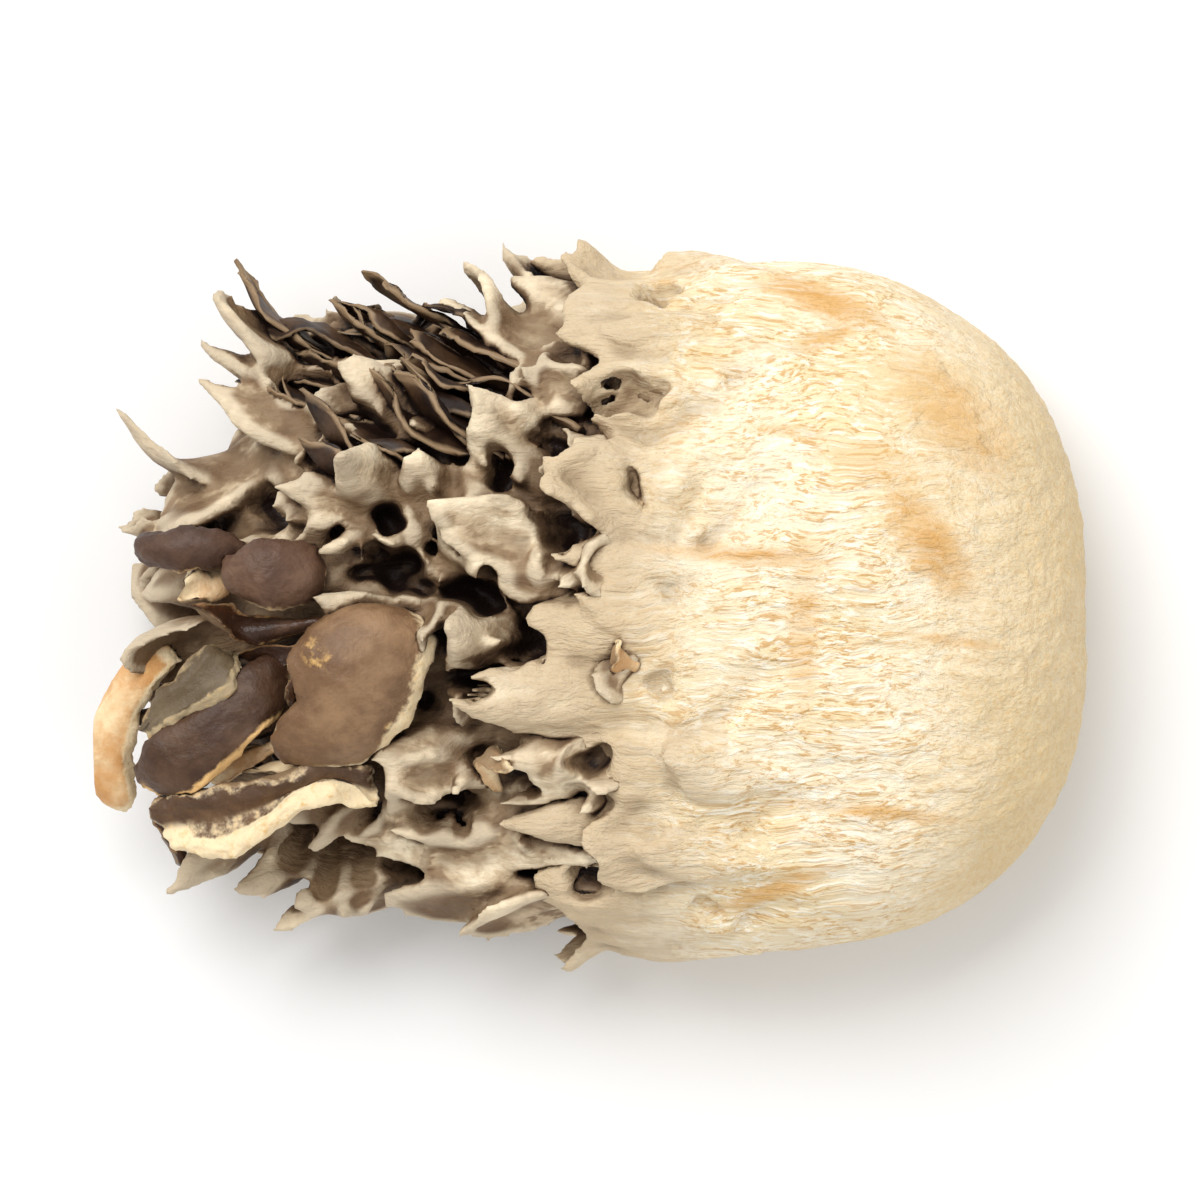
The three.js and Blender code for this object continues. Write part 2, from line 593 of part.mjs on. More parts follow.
function addNode(name, solid, finish) {
  const body = soundBody(solid.subtract(belowSurface).simplify(SHORTEST_EDGE));
  const mesh = new THREE.Mesh(geometryOf(body), new THREE.MeshStandardMaterial(finish));
  mesh.name = name;
  group.add(mesh);
}

function buildStemBase(firstRow, caps) {
  const core = skinGeometry(0.9995 * THICK_END_REACH, BASE_END, BASE_MESH, branchRelief);
  const body = withFronds(solidOf(core), firstRow);
  return caps.reduce((rest, cap) => rest.subtract(capSolid(cap, PIECE_GAP)), body);
}

function buildSmallFronds(fronds, firstRow, caps) {
  const core = skinGeometry(BASE_END - PIECE_GAP / 2, CORE_END + 0.01, CORE_MESH, () => -CORE_SHRINK);
  const baseRoom = skinGeometry(0.99 * THICK_END_REACH, BASE_END - PIECE_GAP, CORE_MESH, () => PIECE_GAP);
  let body = withFronds(solidOf(core), fronds).subtract(solidOf(baseRoom));
  for (const frond of firstRow) body = body.subtract(smallBlade(frond, PIECE_GAP));
  for (const cap of caps) body = body.subtract(capSolid(cap, PIECE_GAP));
  for (const hollow of HOLLOWS) body = body.subtract(hollowSolid(hollow));
  return body;
}

const lobes = LOBES.map(lobeBlade);
const onBase = (lobe) => lobe.root.x > BASE_END;
const firstRow = [...baseFronds(), ...lobes.filter(onBase)];
const further = [...smallFronds(), ...lobes.filter((lobe) => !onBase(lobe)), ...lamellae()];
addNode('stem_base', buildStemBase(firstRow, CAPS), STEM_FINISH);
addNode('small_fronds', buildSmallFronds(further, firstRow, CAPS), FROND_FINISH);
CAPS.forEach((cap, i) => {
  const earlier = CAPS.slice(0, i);
  const solid = earlier.reduce((rest, other) => rest.subtract(capSolid(other, PIECE_GAP)), capSolid(cap));
  addNode(cap.name, solid, CAP_FINISH);
});

export default group;
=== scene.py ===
# %% [markdown]
# # A dried clump of maitake, lying on its side
# The clump is one grown thing: a thick cream stem base that breaks up into many small grey-brown fronds,
# with a few larger brown caps at one corner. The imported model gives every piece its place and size.
# This script dresses it: each solid is replaced by a finer mesh that follows the same rule of growth.

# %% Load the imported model
import bmesh
import bpy
import math
import numpy as np
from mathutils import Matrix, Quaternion, Vector
from mathutils.bvhtree import BVHTree
from mathutils.kdtree import KDTree


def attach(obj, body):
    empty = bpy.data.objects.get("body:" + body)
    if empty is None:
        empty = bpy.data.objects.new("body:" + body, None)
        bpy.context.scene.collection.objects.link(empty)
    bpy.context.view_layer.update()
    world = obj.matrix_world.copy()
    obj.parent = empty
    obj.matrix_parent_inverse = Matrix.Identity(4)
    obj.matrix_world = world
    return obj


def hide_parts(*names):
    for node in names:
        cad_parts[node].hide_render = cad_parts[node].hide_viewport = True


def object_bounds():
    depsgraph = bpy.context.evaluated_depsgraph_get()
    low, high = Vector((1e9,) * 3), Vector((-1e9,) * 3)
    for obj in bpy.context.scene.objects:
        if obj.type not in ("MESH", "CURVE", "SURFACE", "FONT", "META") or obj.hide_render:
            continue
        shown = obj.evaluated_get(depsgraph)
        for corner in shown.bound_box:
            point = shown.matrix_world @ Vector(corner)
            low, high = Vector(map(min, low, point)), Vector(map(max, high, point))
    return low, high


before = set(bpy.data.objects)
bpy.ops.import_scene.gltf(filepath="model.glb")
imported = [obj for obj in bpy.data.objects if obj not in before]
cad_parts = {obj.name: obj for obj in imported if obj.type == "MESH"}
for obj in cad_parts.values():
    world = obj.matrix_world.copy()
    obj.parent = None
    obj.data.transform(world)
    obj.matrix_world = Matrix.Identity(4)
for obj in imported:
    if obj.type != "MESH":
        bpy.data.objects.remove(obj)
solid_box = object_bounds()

MM = 0.001
print("nodes:", sorted(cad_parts),
      "box (mm):", [[round(v / MM, 1) for v in corner] for corner in solid_box])

# %% [markdown]
# ## The rule of growth
# Every draw comes from one small seeded generator, so the fronds stand in the same places in each run, and
# in the same places as the solids' fronds. A generator written out in full is used instead of a library's,
# because its numbers can't change between versions.

# %% Seeded draws and two ways to blend
class Draw:
    def __init__(self, seed):
        self.state = seed & 0xFFFFFFFF

    def next(self):
        self.state = (self.state + 0x6D2B79F5) & 0xFFFFFFFF
        t = self.state
        t = ((t ^ (t >> 15)) * (t | 1)) & 0xFFFFFFFF
        t = (t ^ (t + (((t ^ (t >> 7)) * (t | 61)) & 0xFFFFFFFF))) & 0xFFFFFFFF
        return (t ^ (t >> 14)) / 2**32

    def span(self, low, high):
        return low + (high - low) * self.next()


def mix(a, b, t):
    return a + (b - a) * t


def ramp(a, b, x):
    t = min(max((x - a) / (b - a), 0.0), 1.0)
    return t * t * (3 - 2 * t)


print("first draws:", [round(Draw(31).next(), 4), round(Draw(32).next(), 4)])

# %% [markdown]
# ## The skin of the stem base
# The real stem base is a thick slab with a round end that narrows into branches. A formula gives its
# half-width, its height and its depth at each station along X, and each cross-section is a squarish oval.
# A formula is chosen over sculpting because the fronds can then ask it for a point and a direction.

# %% The skin, in millimetres
THICK_END_REACH = 25.3
THICK_END_HALF_WIDTH = 24.3
THICK_END_RISE = 15.0
THICK_END_DEPTH = 8.6
BELLY_HEIGHT = 8.0
BRANCH_HALF_WIDTH = 17.0
BRANCH_RISE = 9.5
BRANCH_DEPTH = 5.0
BRANCH_BOW = 2.0
TAPER_START = -22.0
CORE_END = -36.0
BASE_END = -6.0
OVAL = 2.3


def round_end(x, squareness, blunt):
    u = min(max(x / THICK_END_REACH, 0.0), 1.0)
    return (1 - u**squareness) ** (1 / blunt)


def branch_taper(x):
    u = min(max((TAPER_START - x) / (TAPER_START - CORE_END), 0.0), 1.0)
    return math.sqrt(1 - u**2.6)


def half_width(x):
    return (mix(THICK_END_HALF_WIDTH, BRANCH_HALF_WIDTH, ramp(0, -22, x))
            * round_end(x, 2.6, 2.6) * branch_taper(x))


def rise_above(x):
    return mix(THICK_END_RISE, BRANCH_RISE, ramp(-2, -20, x)) * round_end(x, 3, 2.4) * branch_taper(x)


def depth_below(x):
    return mix(THICK_END_DEPTH, BRANCH_DEPTH, ramp(-10, -22, x)) * round_end(x, 5, 2.5) * branch_taper(x)


def bow(x):
    return BRANCH_BOW * ramp(-8, -32, x)


def signed_power(value, exponent):
    return math.copysign(abs(value) ** exponent, value)


def skin(x, angle):
    c, s = math.cos(angle), math.sin(angle)
    across = signed_power(c, 2 / OVAL if s >= 0 else 2 / 2.6)
    up = signed_power(s, 2 / OVAL if s >= 0 else 2 / 3.4)
    height = rise_above(x) if s >= 0 else depth_below(x)
    return Vector((x, bow(x) + half_width(x) * across, BELLY_HEIGHT + height * up))


def skin_frame(x, angle):
    step = 0.05
    along = (skin(x - step, angle) - skin(x + step, angle)).normalized()
    around = (skin(x, angle + step) - skin(x, angle - step)).normalized()
    return skin(x, angle), along.cross(around).normalized(), along


def top_of_skin(x, y):
    x = max(x, CORE_END + 1.5)
    across = min(abs((y - bow(x)) / half_width(x)), 1.0)
    return BELLY_HEIGHT + rise_above(x) * (1 - across**OVAL) ** (1 / OVAL)


print("skin at the middle of the thick end:", [round(v, 2) for v in skin(0, math.pi / 2)])

# %% [markdown]
# ## Where the fronds stand
# On the real clump each branch ends in a frond: a narrow foot that widens to a thin, waved, blunt blade.
# They stand in rows that overlap like shingles. The rows follow the skin, and each frond is turned and
# rolled a little by the draws. The first row is as pale as the stem base and lies close along it.

# %% Rows of fronds on the skin
ROWS = 6
FIRST_ROW_X = -8.5
LAST_ROW_X = -33.5
FIRST_ROW_FRONDS = 18
LAST_ROW_FRONDS = 11
END_FRONDS = 7
BASE_ROW_FRONDS = 19
ROW_START_ANGLE = -90.0
FROND_LENGTH = 9.0
FROND_HALF_WIDTH = 3.3
FROND_THICKNESS = 1.5
ROOT_SINK = 1.4
SEED = 31
CAPS_FROM_X = -20.5
CAPS_FROM_Y = 4.0
LOBES_FROM_X = -31.0
LOBES_FROM_RISE = 0.55


def frond_on_skin(draw, x, angle, opening, size):
    point, normal, along = skin_frame(x, angle)
    aim = along * math.cos(opening) + normal * math.sin(opening)
    out = normal * math.cos(opening) - along * math.sin(opening)
    aim.rotate(Quaternion(out, math.radians(draw.span(-12, 12))))
    out.rotate(Quaternion(aim, math.radians(draw.span(-16, 16))))
    return dict(
        root=point - normal * 0.8 - aim * ROOT_SINK,
        aim=aim,
        out=out,
        length=FROND_LENGTH * size * draw.span(0.85, 1.2) + ROOT_SINK,
        half_width=FROND_HALF_WIDTH * size * draw.span(0.8, 1.2),
        bend=draw.span(-0.2, 0.9),
        curl=draw.span(-0.6, 0.7),
        cup=draw.span(-0.5, 0.35),
        ruffle=draw.span(0.1, 0.3),
        phase=draw.span(0, 20),
        thickness=FROND_THICKNESS * draw.span(0.85, 1.15),
    )


def row_angle(draw, place, count):
    return math.radians(ROW_START_ANGLE + 360 * (place + draw.span(-0.25, 0.25)) / count)


def base_fronds():
    draw = Draw(SEED)
    fronds = []
    for i in range(BASE_ROW_FRONDS):
        angle = row_angle(draw, i + 0.5, BASE_ROW_FRONDS)
        frond = frond_on_skin(draw, draw.span(-3.5, -0.5), angle, math.radians(draw.span(2, 10)), 1.1)
        frond["bend"] *= 0.3
        fronds.append(frond)
    return fronds


def under_caps(place):
    return place.x < CAPS_FROM_X and place.y < CAPS_FROM_Y and place.z > BELLY_HEIGHT + 3


def under_lobes(place):
    return place.x > LOBES_FROM_X and place.z > BELLY_HEIGHT + LOBES_FROM_RISE * rise_above(place.x)


def small_fronds():
    draw = Draw(SEED + 1)
    fronds = []
    for row in range(ROWS):
        u = row / (ROWS - 1)
        count = round(mix(FIRST_ROW_FRONDS, LAST_ROW_FRONDS, u))
        for i in range(count):
            angle = row_angle(draw, i + 0.5 * (1 + row % 2), count)
            x = mix(FIRST_ROW_X, LAST_ROW_X, u) + draw.span(-1, 1)
            under = ramp(0, -0.5, math.sin(angle))
            opening = math.radians(mix(mix(12, 28, u), 4, under) + draw.span(-4, 8))
            frond = frond_on_skin(draw, x, angle, opening, 1)
            if not under_caps(frond["root"]) and not under_lobes(frond["root"]):
                fronds.append(frond)
    for i in range(END_FRONDS):
        angle = math.radians(360 * (i + draw.next()) / END_FRONDS)
        fronds.append(frond_on_skin(draw, draw.span(-35.2, -33), angle, math.radians(draw.span(20, 50)),
                                    0.9))
    return fronds


print(len(base_fronds()), "pale fronds in the first row,", len(small_fronds()), "small fronds beyond it")

# %% [markdown]
# ## The lobes that show from above
# Between the rows the real clump has larger saddle-shaped lobes, seen from above. Each is placed one by
# one, from where its foot and its tip are in the photograph, and stands on the skin at the height named
# with it.
# A rule can't give these, because they are what tells this clump from any other.

# %% From the photograph to millimetres
MM_PER_PIXEL = 0.17
MIDDLE_PIXEL = (782, 380)


def above_skin(pixel, lift):
    x = (pixel[0] - MIDDLE_PIXEL[0]) * MM_PER_PIXEL
    y = (MIDDLE_PIXEL[1] - pixel[1]) * MM_PER_PIXEL
    return Vector((x, y, top_of_skin(x, y) + lift))


def lobe(foot, tip, lifts, half_width, roll=0, cup=0.0, bend=0.3, curl=0.0, tone=0.3, ruffle=0.1,
         thick=2.0):
    root = above_skin(foot, lifts[0])
    aim = above_skin(tip, lifts[1]) - root
    length = aim.length
    aim.normalize()
    out = (Vector((0, 0, 1)) - aim * aim.z).normalized()
    out.rotate(Quaternion(aim, math.radians(roll)))
    return dict(root=root, aim=aim, out=out, length=length, half_width=half_width, bend=bend, curl=curl,
                cup=cup, ruffle=ruffle, phase=0.37 * (foot[0] + 2 * foot[1] + tip[0]) % 20,
                thickness=thick, tone=tone)


LOBES = [
    # along the upper side
    lobe((812, 282), (734, 268), (-1.0, 0.8), 2.6, roll=8, cup=-0.2, tone=0.0),
    lobe((812, 250), (753, 239), (-1.0, 0.9), 1.9, roll=25, cup=-0.2, tone=0.0),
    lobe((744, 270), (700, 254), (-0.8, 2.0), 2.0, roll=20, cup=-0.3, tone=0.45),
    lobe((740, 260), (694, 247), (-0.8, 1.6), 1.5, roll=35, tone=0.15),
    lobe((734, 294), (706, 280), (-0.6, 2.4), 1.5, roll=-20, cup=0.6, tone=0.5),
    lobe((716, 292), (659, 253), (-0.5, 3.4), 1.2, roll=62, cup=0.5, bend=0.1, tone=0.3),
    lobe((770, 348), (706, 316), (-1.2, 2.2), 3.1, roll=6, cup=-0.3, bend=0.5, tone=0.0),
    # the middle
    lobe((712, 334), (673, 292), (-0.8, 3.6), 2.7, roll=8, cup=-0.4, bend=0.7, tone=0.12),
    lobe((722, 354), (657, 337), (-0.8, 3.4), 2.5, roll=-12, cup=0.5, bend=0.4, tone=0.05),
    lobe((652, 342), (616, 309), (-0.8, 4.2), 2.4, roll=5, cup=-0.5, bend=0.9, tone=0.0),
    lobe((668, 316), (620, 278), (-0.8, 4.0), 2.1, roll=20, cup=-0.3, bend=0.5, tone=0.2),
    lobe((630, 322), (566, 292), (-0.8, 3.6), 1.9, roll=25, cup=0.4, tone=0.1),
    lobe((622, 304), (562, 271), (-0.6, 3.2), 1.1, roll=65, cup=0.4, bend=0.1, tone=0.5),
    lobe((646, 345), (598, 326), (-0.8, 2.6), 1.3, roll=-15, tone=0.1),
    lobe((670, 346), (650, 312), (-0.8, 4.2), 1.6, roll=5, cup=-0.4, tone=0.25),
    lobe((688, 370), (662, 340), (-0.8, 2.8), 1.9, roll=-5, cup=-0.4, tone=0.35),
    lobe((674, 366), (616, 346), (-0.8, 3.6), 1.3, roll=-30, cup=0.3, tone=0.15),
    lobe((722, 374), (685, 363), (-0.6, 2.2), 1.6, roll=-5, tone=0.2),
    lobe((776, 364), (712, 357), (-1.2, 1.4), 2.3, roll=0, cup=-0.2, tone=0.0),
    lobe((698, 394), (658, 386), (-0.8, 4.0), 2.9, roll=-6, cup=-0.45, bend=0.8, tone=0.15),
    lobe((750, 390), (696, 384), (-0.8, 2.0), 2.1, roll=0, cup=-0.3, tone=0.5),
    lobe((764, 386), (718, 374), (-1.0, 1.8), 1.9, roll=5, cup=0.3, tone=0.4),
    lobe((656, 392), (613, 374), (-0.8, 2.6), 2.3, roll=-8, cup=0.2, tone=0.55),
    # the lower middle
    lobe((758, 414), (666, 414), (-1.0, 3.0), 3.3, roll=-4, cup=-0.35, bend=0.5, tone=0.5),
    lobe((684, 430), (634, 441), (-0.8, 2.4), 1.7, roll=-10, cup=-0.3, tone=0.15),
    lobe((740, 441), (687, 436), (-0.8, 2.2), 1.8, roll=-8, cup=-0.4, bend=0.6, tone=0.4),
    lobe((676, 447), (638, 444), (-0.5, 2.8), 1.9, roll=-10, cup=0.8, tone=0.3),
    lobe((656, 470), (642, 448), (-0.8, 2.6), 1.4, roll=-20, cup=-0.3, tone=0.2),
    lobe((716, 471), (646, 468), (-0.8, 2.2), 1.5, roll=-20, cup=-0.2, tone=0.1),
    lobe((760, 466), (690, 464), (-1.0, 1.6), 2.0, roll=-12, cup=-0.2, tone=0.05),
    # along the lower side
    lobe((746, 478), (632, 477), (-0.8, 2.6), 1.4, roll=-25, cup=0.3, bend=0.1, tone=0.05),
    lobe((730, 494), (638, 497), (-0.6, 2.2), 2.5, roll=-48, cup=0.2, bend=0.1, tone=0.25),
    lobe((668, 492), (598, 496), (-0.6, 2.4), 2.1, roll=-50, cup=0.2, bend=0.2, tone=0.55),
    lobe((784, 506), (718, 498), (-1.0, 1.4), 2.4, roll=-38, cup=-0.2, tone=0.02),
    lobe((796, 516), (738, 514), (-1.0, 1.2), 2.2, roll=-60, cup=-0.2, tone=0.05),
    lobe((626, 470), (576, 496), (-0.5, 2.0), 1.8, roll=-30, cup=-0.3, tone=0.35),
    lobe((606, 464), (547, 490), (-0.5, 2.0), 1.8, roll=-30, cup=-0.3, tone=0.35),
    lobe((806, 446), (752, 440), (-1.2, 0.8), 2.6, roll=0, cup=-0.2, bend=0.2, tone=0.0),
    lobe((806, 480), (744, 476), (-1.2, 1.0), 2.4, roll=-14, cup=-0.2, bend=0.2, tone=0.0),
    # stalks that carry the caps
    lobe((652, 424), (622, 412), (-1.5, 3.2), 2.2, roll=-10, bend=0.5, tone=0.8),
    lobe((612, 412), (570, 430), (-1.5, 4.5), 1.8, roll=-10, bend=0.5, tone=0.8),
    lobe((608, 396), (572, 410), (-1.5, 3.2), 1.7, bend=0.5, tone=0.8),
    lobe((596, 424), (535, 426), (-3.0, 3.6), 2.0, bend=0.3, tone=0.8),
    lobe((640, 448), (590, 462), (-1.5, 4.0), 1.9, roll=-10, bend=0.5, tone=0.8),
    lobe((630, 366), (594, 364), (-1.2, 1.6), 1.6, bend=0.4, tone=0.8),
    lobe((610, 358), (562, 354), (-1.5, 0.6), 1.3, bend=0.3, tone=0.8),
    # dark ones deep under the hollow beside the caps
    lobe((656, 464), (584, 474), (-6.0, -4.5), 3.4, tone=1.2),
    lobe((650, 478), (596, 484), (-4.5, -4.0), 2.4, tone=1.2),
]
print(len(LOBES), "lobes placed by hand")

# %% [markdown]
# ## The hollows between the lobes
# What draws the lobes in the photograph is the dark between them: scoops where the flesh shrank as it
# dried. Each is a bent, uneven bowl, pushed into the flesh from above at its place in the photograph. A
# boolean cut would leave sharp rims, and pushing the surface in keeps it whole and lets the next step round
# the rim.

# %% Hollows: middle, half length, half width and depth in millimetres, and heading in degrees
HOLLOWS = [
    ((765, 337), 2.2, 2.6, 1.2, 0), ((740, 292), 3.0, 1.5, 1.5, 5), ((753, 248), 1.5, 2.3, 1.1, 20),
    ((767, 295), 1.5, 1.1, 0.4, -10), ((669, 264), 2.2, 1.3, 3.4, -40), ((681, 283), 1.7, 1.3, 3.0, -30),
    ((662, 280), 0.8, 1.3, 2.6, 10), ((670, 302), 1.2, 1.5, 3.0, 20), ((634, 274), 2.3, 1.2, 3.2, -25),
    ((608, 270), 2.0, 1.2, 3.0, -25), ((609, 288), 2.0, 1.5, 3.4, -20), ((632, 303), 2.0, 1.0, 2.6, -15),
    ((712, 313), 1.8, 1.1, 2.6, -35), ((643, 341), 1.2, 1.3, 2.8, 0), ((712, 344), 1.4, 2.2, 3.0, 30),
    ((645, 362), 2.9, 1.6, 4.4, -15), ((678, 372), 2.2, 1.2, 3.6, -25), ((588, 336), 2.2, 2.0, 3.2, 0),
    ((700, 392), 1.6, 1.9, 2.6, 20), ((676, 407), 2.4, 0.9, 2.6, 5), ((658, 420), 1.2, 0.9, 2.8, 25),
    ((666, 458), 2.3, 1.3, 3.4, 0), ((620, 467), 3.6, 2.0, 4.2, 5), ((696, 448), 1.7, 0.8, 2.0, 0),
    ((725, 489), 1.6, 1.1, 1.2, 0), ((771, 505), 1.6, 1.1, 0.8, -15), ((752, 408), 1.4, 1.8, 1.0, 0),
    ((727, 440), 1.5, 1.1, 0.7, 0), ((701, 394), 1.8, 1.0, 1.5, 0),
    ((690, 322), 0.9, 1.6, 1.6, 0), ((742, 330), 0.7, 1.8, 1.0, 15),
]


def hollow_frames():
    frames = []
    for pixel, half_length, half_width_, depth, heading in HOLLOWS:
        middle = above_skin(pixel, 1.0)
        step = 1.0
        slope_x = (top_of_skin(middle.x + step, middle.y)
                   - top_of_skin(middle.x - step, middle.y)) / (2 * step)
        slope_y = (top_of_skin(middle.x, middle.y + step)
                   - top_of_skin(middle.x, middle.y - step)) / (2 * step)
        up = Vector((-max(-0.7, min(0.7, slope_x)), -max(-1.2, min(1.2, slope_y)), 1)).normalized()
        along = Vector((math.cos(math.radians(heading)), math.sin(math.radians(heading)), 0))
        along = (along - up * along.dot(up)).normalized()
        frames.append((middle, along, up.cross(along), up, half_length, half_width_, depth))
    return frames


def scoop(piece):
    points = places(piece.data).astype(float) / MM
    inside = np.zeros(len(points))
    for middle, along, side, up, half_length, half_width_, depth in hollow_frames():
        away = points - np.array(middle)
        u, v, h = (away @ np.array(along) / half_length, away @ np.array(side) / half_width_,
                   away @ np.array(up))
        v = v + 0.35 * u * u + 0.22 * np.sin(2.3 * away[:, 0] + middle.x)
        u = u + 0.22 * np.sin(2.9 * away[:, 1] + middle.y)
        round_off = np.clip(1 - u * u - v * v, 0, 1)
        floor = -(depth + 1.0) * np.sqrt(round_off)
        pressed = (round_off > 0) & (h > floor) & (h < 8)
        push = np.where(pressed, (floor - h) * 0.92, 0.0)
        points += push[:, None] * np.array(up)
        inside = np.maximum(inside, np.where(pressed, np.sqrt(round_off), 0.0))
    piece.data.vertices.foreach_set("co", (points * MM).ravel())
    piece.data.update()
    # How deep inside a scoop each vertex lies; the frond finish darkens by it as painted shade.
    store(piece.data, "hollow", inside)
    return piece


print(len(HOLLOWS), "hollows")

# %% [markdown]
# ## Little lobes in the gaps
# Between the large lobes the real clump is filled with small ones that point every way. A rule scatters
# them over the upper side, low enough that they show in the gaps and leave the large lobes' outline alone.

# %% Little lobes by a rule
LITTLE_LOBES = 150


def little_lobes():
    draw = Draw(SEED + 5)
    blades = []
    for _ in range(LITTLE_LOBES):
        foot = (draw.span(606, 744), draw.span(258, 500))
        reach = draw.span(14, 32)
        heading = math.radians(draw.span(-42, 42))
        tip = (foot[0] - reach * math.cos(heading), foot[1] - reach * math.sin(heading))
        blades.append(lobe(foot, tip, (draw.span(-0.6, 0.2), draw.span(0.8, 2.6)), draw.span(0.8, 1.7),
                           roll=draw.span(-70, 70), cup=draw.span(-0.9, 0.7), bend=draw.span(0.0, 1.2),
                           curl=draw.span(-0.5, 0.8), tone=draw.span(0.0, 1.0), ruffle=draw.span(0.1, 0.3),
                           thick=draw.span(1.0, 1.5)))
    return [blade for blade in blades if not under_caps(blade["root"])]


print(len(little_lobes()), "little lobes")

# %% [markdown]
# ## The dark lamellae
# Where the clump was pulled off its head, long dark sheets stand on edge side by side, gently curved. They
# are too many to place one by one, so a short rule lays them over the corner where they show, each with its
# broad face to the side so that only the edge is seen from above, and the gaps between them stay dark.

# %% Long thin sheets on edge
LAMELLA_LINES = [((724, 308), (642, 334)), ((714, 288), (624, 304)), ((702, 270), (612, 280))]
LAMELLAE_PER_LINE = 9


def dark_lamellae():
    draw = Draw(SEED + 7)
    blades = []
    for start, end in LAMELLA_LINES:
        for i in range(LAMELLAE_PER_LINE):
            u = (i + draw.span(0.2, 0.8)) / LAMELLAE_PER_LINE
            foot = (mix(start[0], end[0], u) + draw.span(-5, 5),
                    mix(start[1], end[1], u) + draw.span(-3, 3))
            reach = draw.span(34, 62)
            heading = math.radians(draw.span(18, 34))
            tip = (foot[0] - reach * math.cos(heading), foot[1] - reach * math.sin(heading))
            blades.append(lobe(foot, tip, (draw.span(-0.2, 0.6), draw.span(1.8, 4.0)), draw.span(1.5, 2.4),
                               roll=draw.span(66, 104), cup=draw.span(-0.35, 0.35),
                               bend=draw.span(-0.2, 0.3),
                               curl=draw.span(-0.5, 0.5), tone=draw.span(0.2, 1.0),
                               ruffle=draw.span(0.15, 0.4), thick=draw.span(0.55, 0.8)))
    return blades


print(len(dark_lamellae()), "dark lamellae")

# %% [markdown]
# ## Small curls and rims
# A few scraps catch the eye in the photograph: a glossy dark curl beside the caps, an orange-cream curl in
# the middle of the lobes, and broken cream rims. They are too small to be solids of their own, so they are
# placed here one by one and ride with the pieces that they grow from.

# %% The scraps, by finish
DARK_CURLS = [
    lobe((616, 384), (566, 392), (1.2, 3.4), 1.1, roll=25, cup=-0.8, bend=0.5, curl=0.9, thick=0.8),
    lobe((612, 394), (578, 402), (0.6, 2.4), 0.9, roll=-10, cup=0.6, bend=0.3, thick=0.7),
    lobe((606, 424), (604, 398), (3.0, 5.0), 0.7, roll=60, cup=-0.5, bend=0.2, thick=0.6),
    lobe((556, 484), (546, 452), (0.4, 3.0), 1.2, roll=50, cup=-0.3, bend=0.2, thick=0.9),
]
PALE_CURLS = [
    lobe((688, 452), (677, 427), (0.6, 3.4), 0.9, roll=20, cup=-0.7, bend=0.6, curl=0.9, thick=0.9),
    lobe((626, 440), (588, 447), (3.4, 5.4), 0.8, roll=40, cup=-0.4, bend=0.2, thick=0.8),
    lobe((584, 362), (556, 374), (0.4, 3.4), 1.5, roll=10, cup=-0.3, bend=0.4, ruffle=0.5, thick=0.9),
    lobe((600, 432), (568, 450), (2.2, 3.6), 0.8, roll=30, cup=-0.4, bend=0.2, ruffle=0.5, thick=0.8),
    lobe((744, 402), (728, 396), (0.0, 2.2), 1.0, roll=20, cup=-0.4, bend=0.8, curl=0.6, thick=0.8),
]
print(len(DARK_CURLS), "dark curls and", len(PALE_CURLS), "pale ones")

# %% [markdown]
# ## Node trees written as expressions
# The blades' shape and every finish are sums and products of a few measures. A small class wraps a node's
# output, so that such a sum is written as plain Python, and one method makes every other node. That keeps
# each formula readable, where a hand-wired tree would hide it.

# %% One socket, and the operators that it takes
class Socket:
    def __init__(self, tree, out):
        self.tree = tree
        self.out = out

    def is_vector(self):
        return self.out.type in ("VECTOR", "RGBA")

    def maths(self, operation, *others, swapped=False):
        terms = (*others, self) if swapped else (self, *others)
        vector = any(t.is_vector() if isinstance(t, Socket) else isinstance(t, tuple) for t in terms)
        if not vector:
            return self.tree.node("ShaderNodeMath", dict(operation=operation), *terms)
        terms = [(t, t, t) if isinstance(t, (int, float)) else t for t in terms]
        return self.tree.node("ShaderNodeVectorMath", dict(operation=operation), *terms)

    def __add__(self, other):
        return self.maths("ADD", other)

    def __radd__(self, other):
        return self.maths("ADD", other)

    def __sub__(self, other):
        return self.maths("SUBTRACT", other)

    def __rsub__(self, other):
        return self.maths("SUBTRACT", other, swapped=True)

    def __mul__(self, other):
        if isinstance(other, Socket) and self.is_vector() != other.is_vector():
            vector, scale = (self, other) if self.is_vector() else (other, self)
            return self.tree.node("ShaderNodeVectorMath", dict(operation="SCALE"), vector, Scale=scale)
        return self.maths("MULTIPLY", other)

    def __rmul__(self, other):
        return self * other

    def __truediv__(self, other):
        return self.maths("DIVIDE", other)

    def __neg__(self):
        return self * -1.0

    def __pow__(self, other):
        return self.maths("POWER", other)

    def least(self, other):
        return self.maths("MINIMUM", other)

    def most(self, other):
        return self.maths("MAXIMUM", other)

    def sine(self):
        return self.maths("SINE")

    def cosine(self):
        return self.maths("COSINE")

    def size(self):
        return self.maths("ABSOLUTE")

    def cross(self, other):
        return self.maths("CROSS_PRODUCT", other)

    def ramp(self, start, end, low=0.0, high=1.0):
        ends = {"From Min": start, "From Max": end, "To Min": low, "To Max": high}
        return self.tree.node("ShaderNodeMapRange", dict(interpolation_type="SMOOTHSTEP"), Value=self,
                              **ends)

    def parts(self):
        split = self.tree.node("ShaderNodeSeparateXYZ", None, self).out.node
        return [Socket(self.tree, out) for out in split.outputs]


